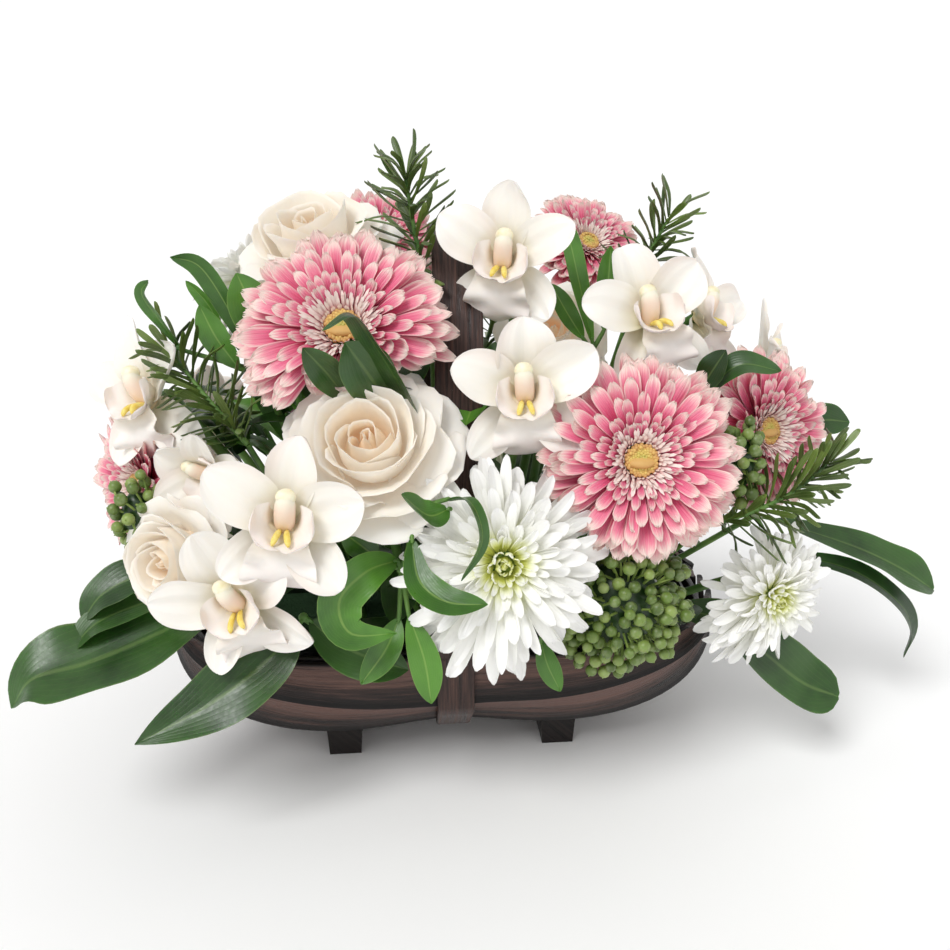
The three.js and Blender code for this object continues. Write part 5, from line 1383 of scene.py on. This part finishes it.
def add_filler(sheaf, number, random):
    """A leaf that grows out of the foam."""
    turn = number * GOLDEN_TURN
    ring = math.sqrt(0.25 + 0.75 * (number + 0.5) / FILLERS)
    base = np.array([ring * math.cos(turn), ring * math.sin(turn), 1]) * FILL_RING
    out = unit(np.array([math.cos(turn) * 1.15, math.sin(turn), 0]))
    steep = random.uniform(8, 66)
    way = facing(azimuth_of(out), steep)
    length = random.uniform(48, 84) * (0.8 if math.radians(steep) < 0.5 else 1)
    middle = base + way * length * 0.55 + UP * 5
    tip = base + way * length + out * 6 - UP * random.uniform(4, 16)
    width, up = random.uniform(19, 30), fill_up(azimuth_of(out), steep)
    leaf(sheaf, [base, middle, tip], width, "oval", up, random, "leaf", 14, FILL_COLUMNS)
    root = base - way * 6 - UP * 6
    sheaf.tube(smooth_line([root, base, base + way * 4], 5), [1.5, 1.5, 1.4, 1.2, 0.8], "stem", 6)


def add_filling_stem(sheaf, number, random):
    """A stem whose leaves fill the room behind the blooms, up under the dome that they make."""
    turn = evenly(FILL_STEMS, 0.5)[number]
    out = np.array([math.cos(turn), math.sin(turn), 0])
    place = FILL_DOME * out * random.uniform(0.72, 1.0)
    place[2] = FILL_DOME[2] - 46 * abs(out[0]) - random.uniform(0, 26)
    wide, deep, high = FILL_FOOT
    foot = np.array([np.clip(place[0] * 0.5, -wide, wide), np.clip(place[1] * 0.3, -deep, deep), high])
    sheaf.tube(smooth_line([foot, (foot + place) / 2, place], 10), 1.6, "stem", TWIG_SIDES)
    material = "leaf_bright" if number % 3 == 0 else "leaf"
    for k in range(FILL_LEAVES):
        aside = azimuth_of(out) + (k - 2) * 38 + random.uniform(-12, 12)
        steep = random.uniform(10, 62)
        way = facing(aside, steep)
        start = place - UP * 9 * (k % 3)
        length = random.uniform(38, 56)
        tip = start + way * length - UP * random.uniform(2, 10)
        line = [start, start + way * length * 0.55 + UP * 3, tip]
        width, up = random.uniform(13, 20), fill_up(aside, steep)
        leaf(sheaf, line, width, "oval", up, random, material, 12, FILL_COLUMNS)


def make_fillers():
    sheaf = Sheaf()
    random = np.random.default_rng(FILL_SEED)
    for number in range(FILLERS):
        add_filler(sheaf, number, random)
    for number in range(FILL_STEMS):
        add_filling_stem(sheaf, number, random)
    sheaf.piece("filler_leaves", "leafy")


# The pieces, each with the seed of its random numbers

for number, (name, item) in enumerate(BLOOMS.items()):
    make_bloom(name, item, BLOOM_SEED + 10 * number)
for number, (name, item) in enumerate(LEAFY.items()):
    make_leafy(name, *item, LEAFY_SEED + number)
for number, (name, item) in enumerate(SPRIGS.items()):
    make_sprig(name, *item, SPRIG_SEED + number)
for number, (name, band) in enumerate(BANDS.items()):
    make_board(name, band, BOARD_SEED + number)
make_handle()
make_rim()
make_fillers()

# The feet take the near-black wood: dark stain and painted shade.
DRESSED = {"foot_left": "board_dark", "foot_right": "board_dark", "liner": "liner", "foam": "foam"}
for node, material in DRESSED.items():
    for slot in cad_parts[node].material_slots:
        slot.material = MATERIALS[material]

# Camera, floor and light

TARGET = (18.97, 0, 156.55)
CAMERA_AZIMUTH = -5
CAMERA_ELEVATION = 20
CAMERA_DISTANCE = 580
FOCAL_PIXELS = 940
FRAME_PIXELS = 950
SENSOR = 36
NEAREST = 0.05
FLOOR_REACH = 12

# Azimuth, elevation, softness in degrees and strength
LIGHTS = {"key": (-42, 50, 26, 1.85), "fill": (48, 30, 80, 0.3), "rear": (165, 45, 60, 0.4)}

WALL_LIGHT, CEILING_LIGHT = 1.03, 0.48
WALL_TOP, CEILING_EDGE = 0.15, 0.4


def look_along(made, way):
    made.rotation_mode = "QUATERNION"
    made.rotation_quaternion = Vector(way).to_track_quat("-Z", "Y")


def make_camera():
    data = bpy.data.cameras.new("view")
    data.sensor_width = SENSOR
    data.lens = SENSOR * FOCAL_PIXELS / FRAME_PIXELS
    data.clip_start = NEAREST
    camera = add_object("view", data)
    back = facing(CAMERA_AZIMUTH, CAMERA_ELEVATION)
    camera.location = (TARGET + back * CAMERA_DISTANCE) * MM + ORIGIN
    look_along(camera, -back)
    bpy.context.scene.camera = camera


def make_light(name, azimuth, elevation, softness, strength):
    """A far light whose softness is the angle that it fills, in degrees."""
    data = bpy.data.lights.new(name, "SUN")
    data.angle = math.radians(softness)
    data.energy = strength
    look_along(add_object(name, data), -facing(azimuth, elevation))


def make_floor():
    mesh = bpy.data.meshes.new("floor")
    corners = [(x * FLOOR_REACH, y * FLOOR_REACH, 0) for x, y in ((-1, -1), (1, -1), (1, 1), (-1, 1))]
    mesh.from_pydata(corners, [], [(0, 1, 2, 3)])
    mesh.materials.append(plain_look("floor_paper", "fafafa", "fcfcfb", 2, 0.0, 0.9))
    add_object("floor", mesh)


def make_world():
    """A white room: bright walls low down and a dimmer ceiling."""
    world = bpy.data.worlds.new("studio")
    bpy.context.scene.world = world
    world.use_nodes = True
    room = Nodes(world.node_tree)
    height = room.parts(room.node("ShaderNodeTexCoord", output="Generated"))[2]
    inputs = (height, WALL_TOP, CEILING_EDGE, WALL_LIGHT, CEILING_LIGHT)
    background = world.node_tree.nodes["Background"].inputs
    room.put(background["Color"], (1, 1, 1, 1))
    room.put(background["Strength"], room.node("ShaderNodeMapRange", inputs))


make_camera()
make_floor()
for name, values in LIGHTS.items():
    make_light(name, *values)
make_world()
bpy.context.scene.view_settings.view_transform = "Standard"
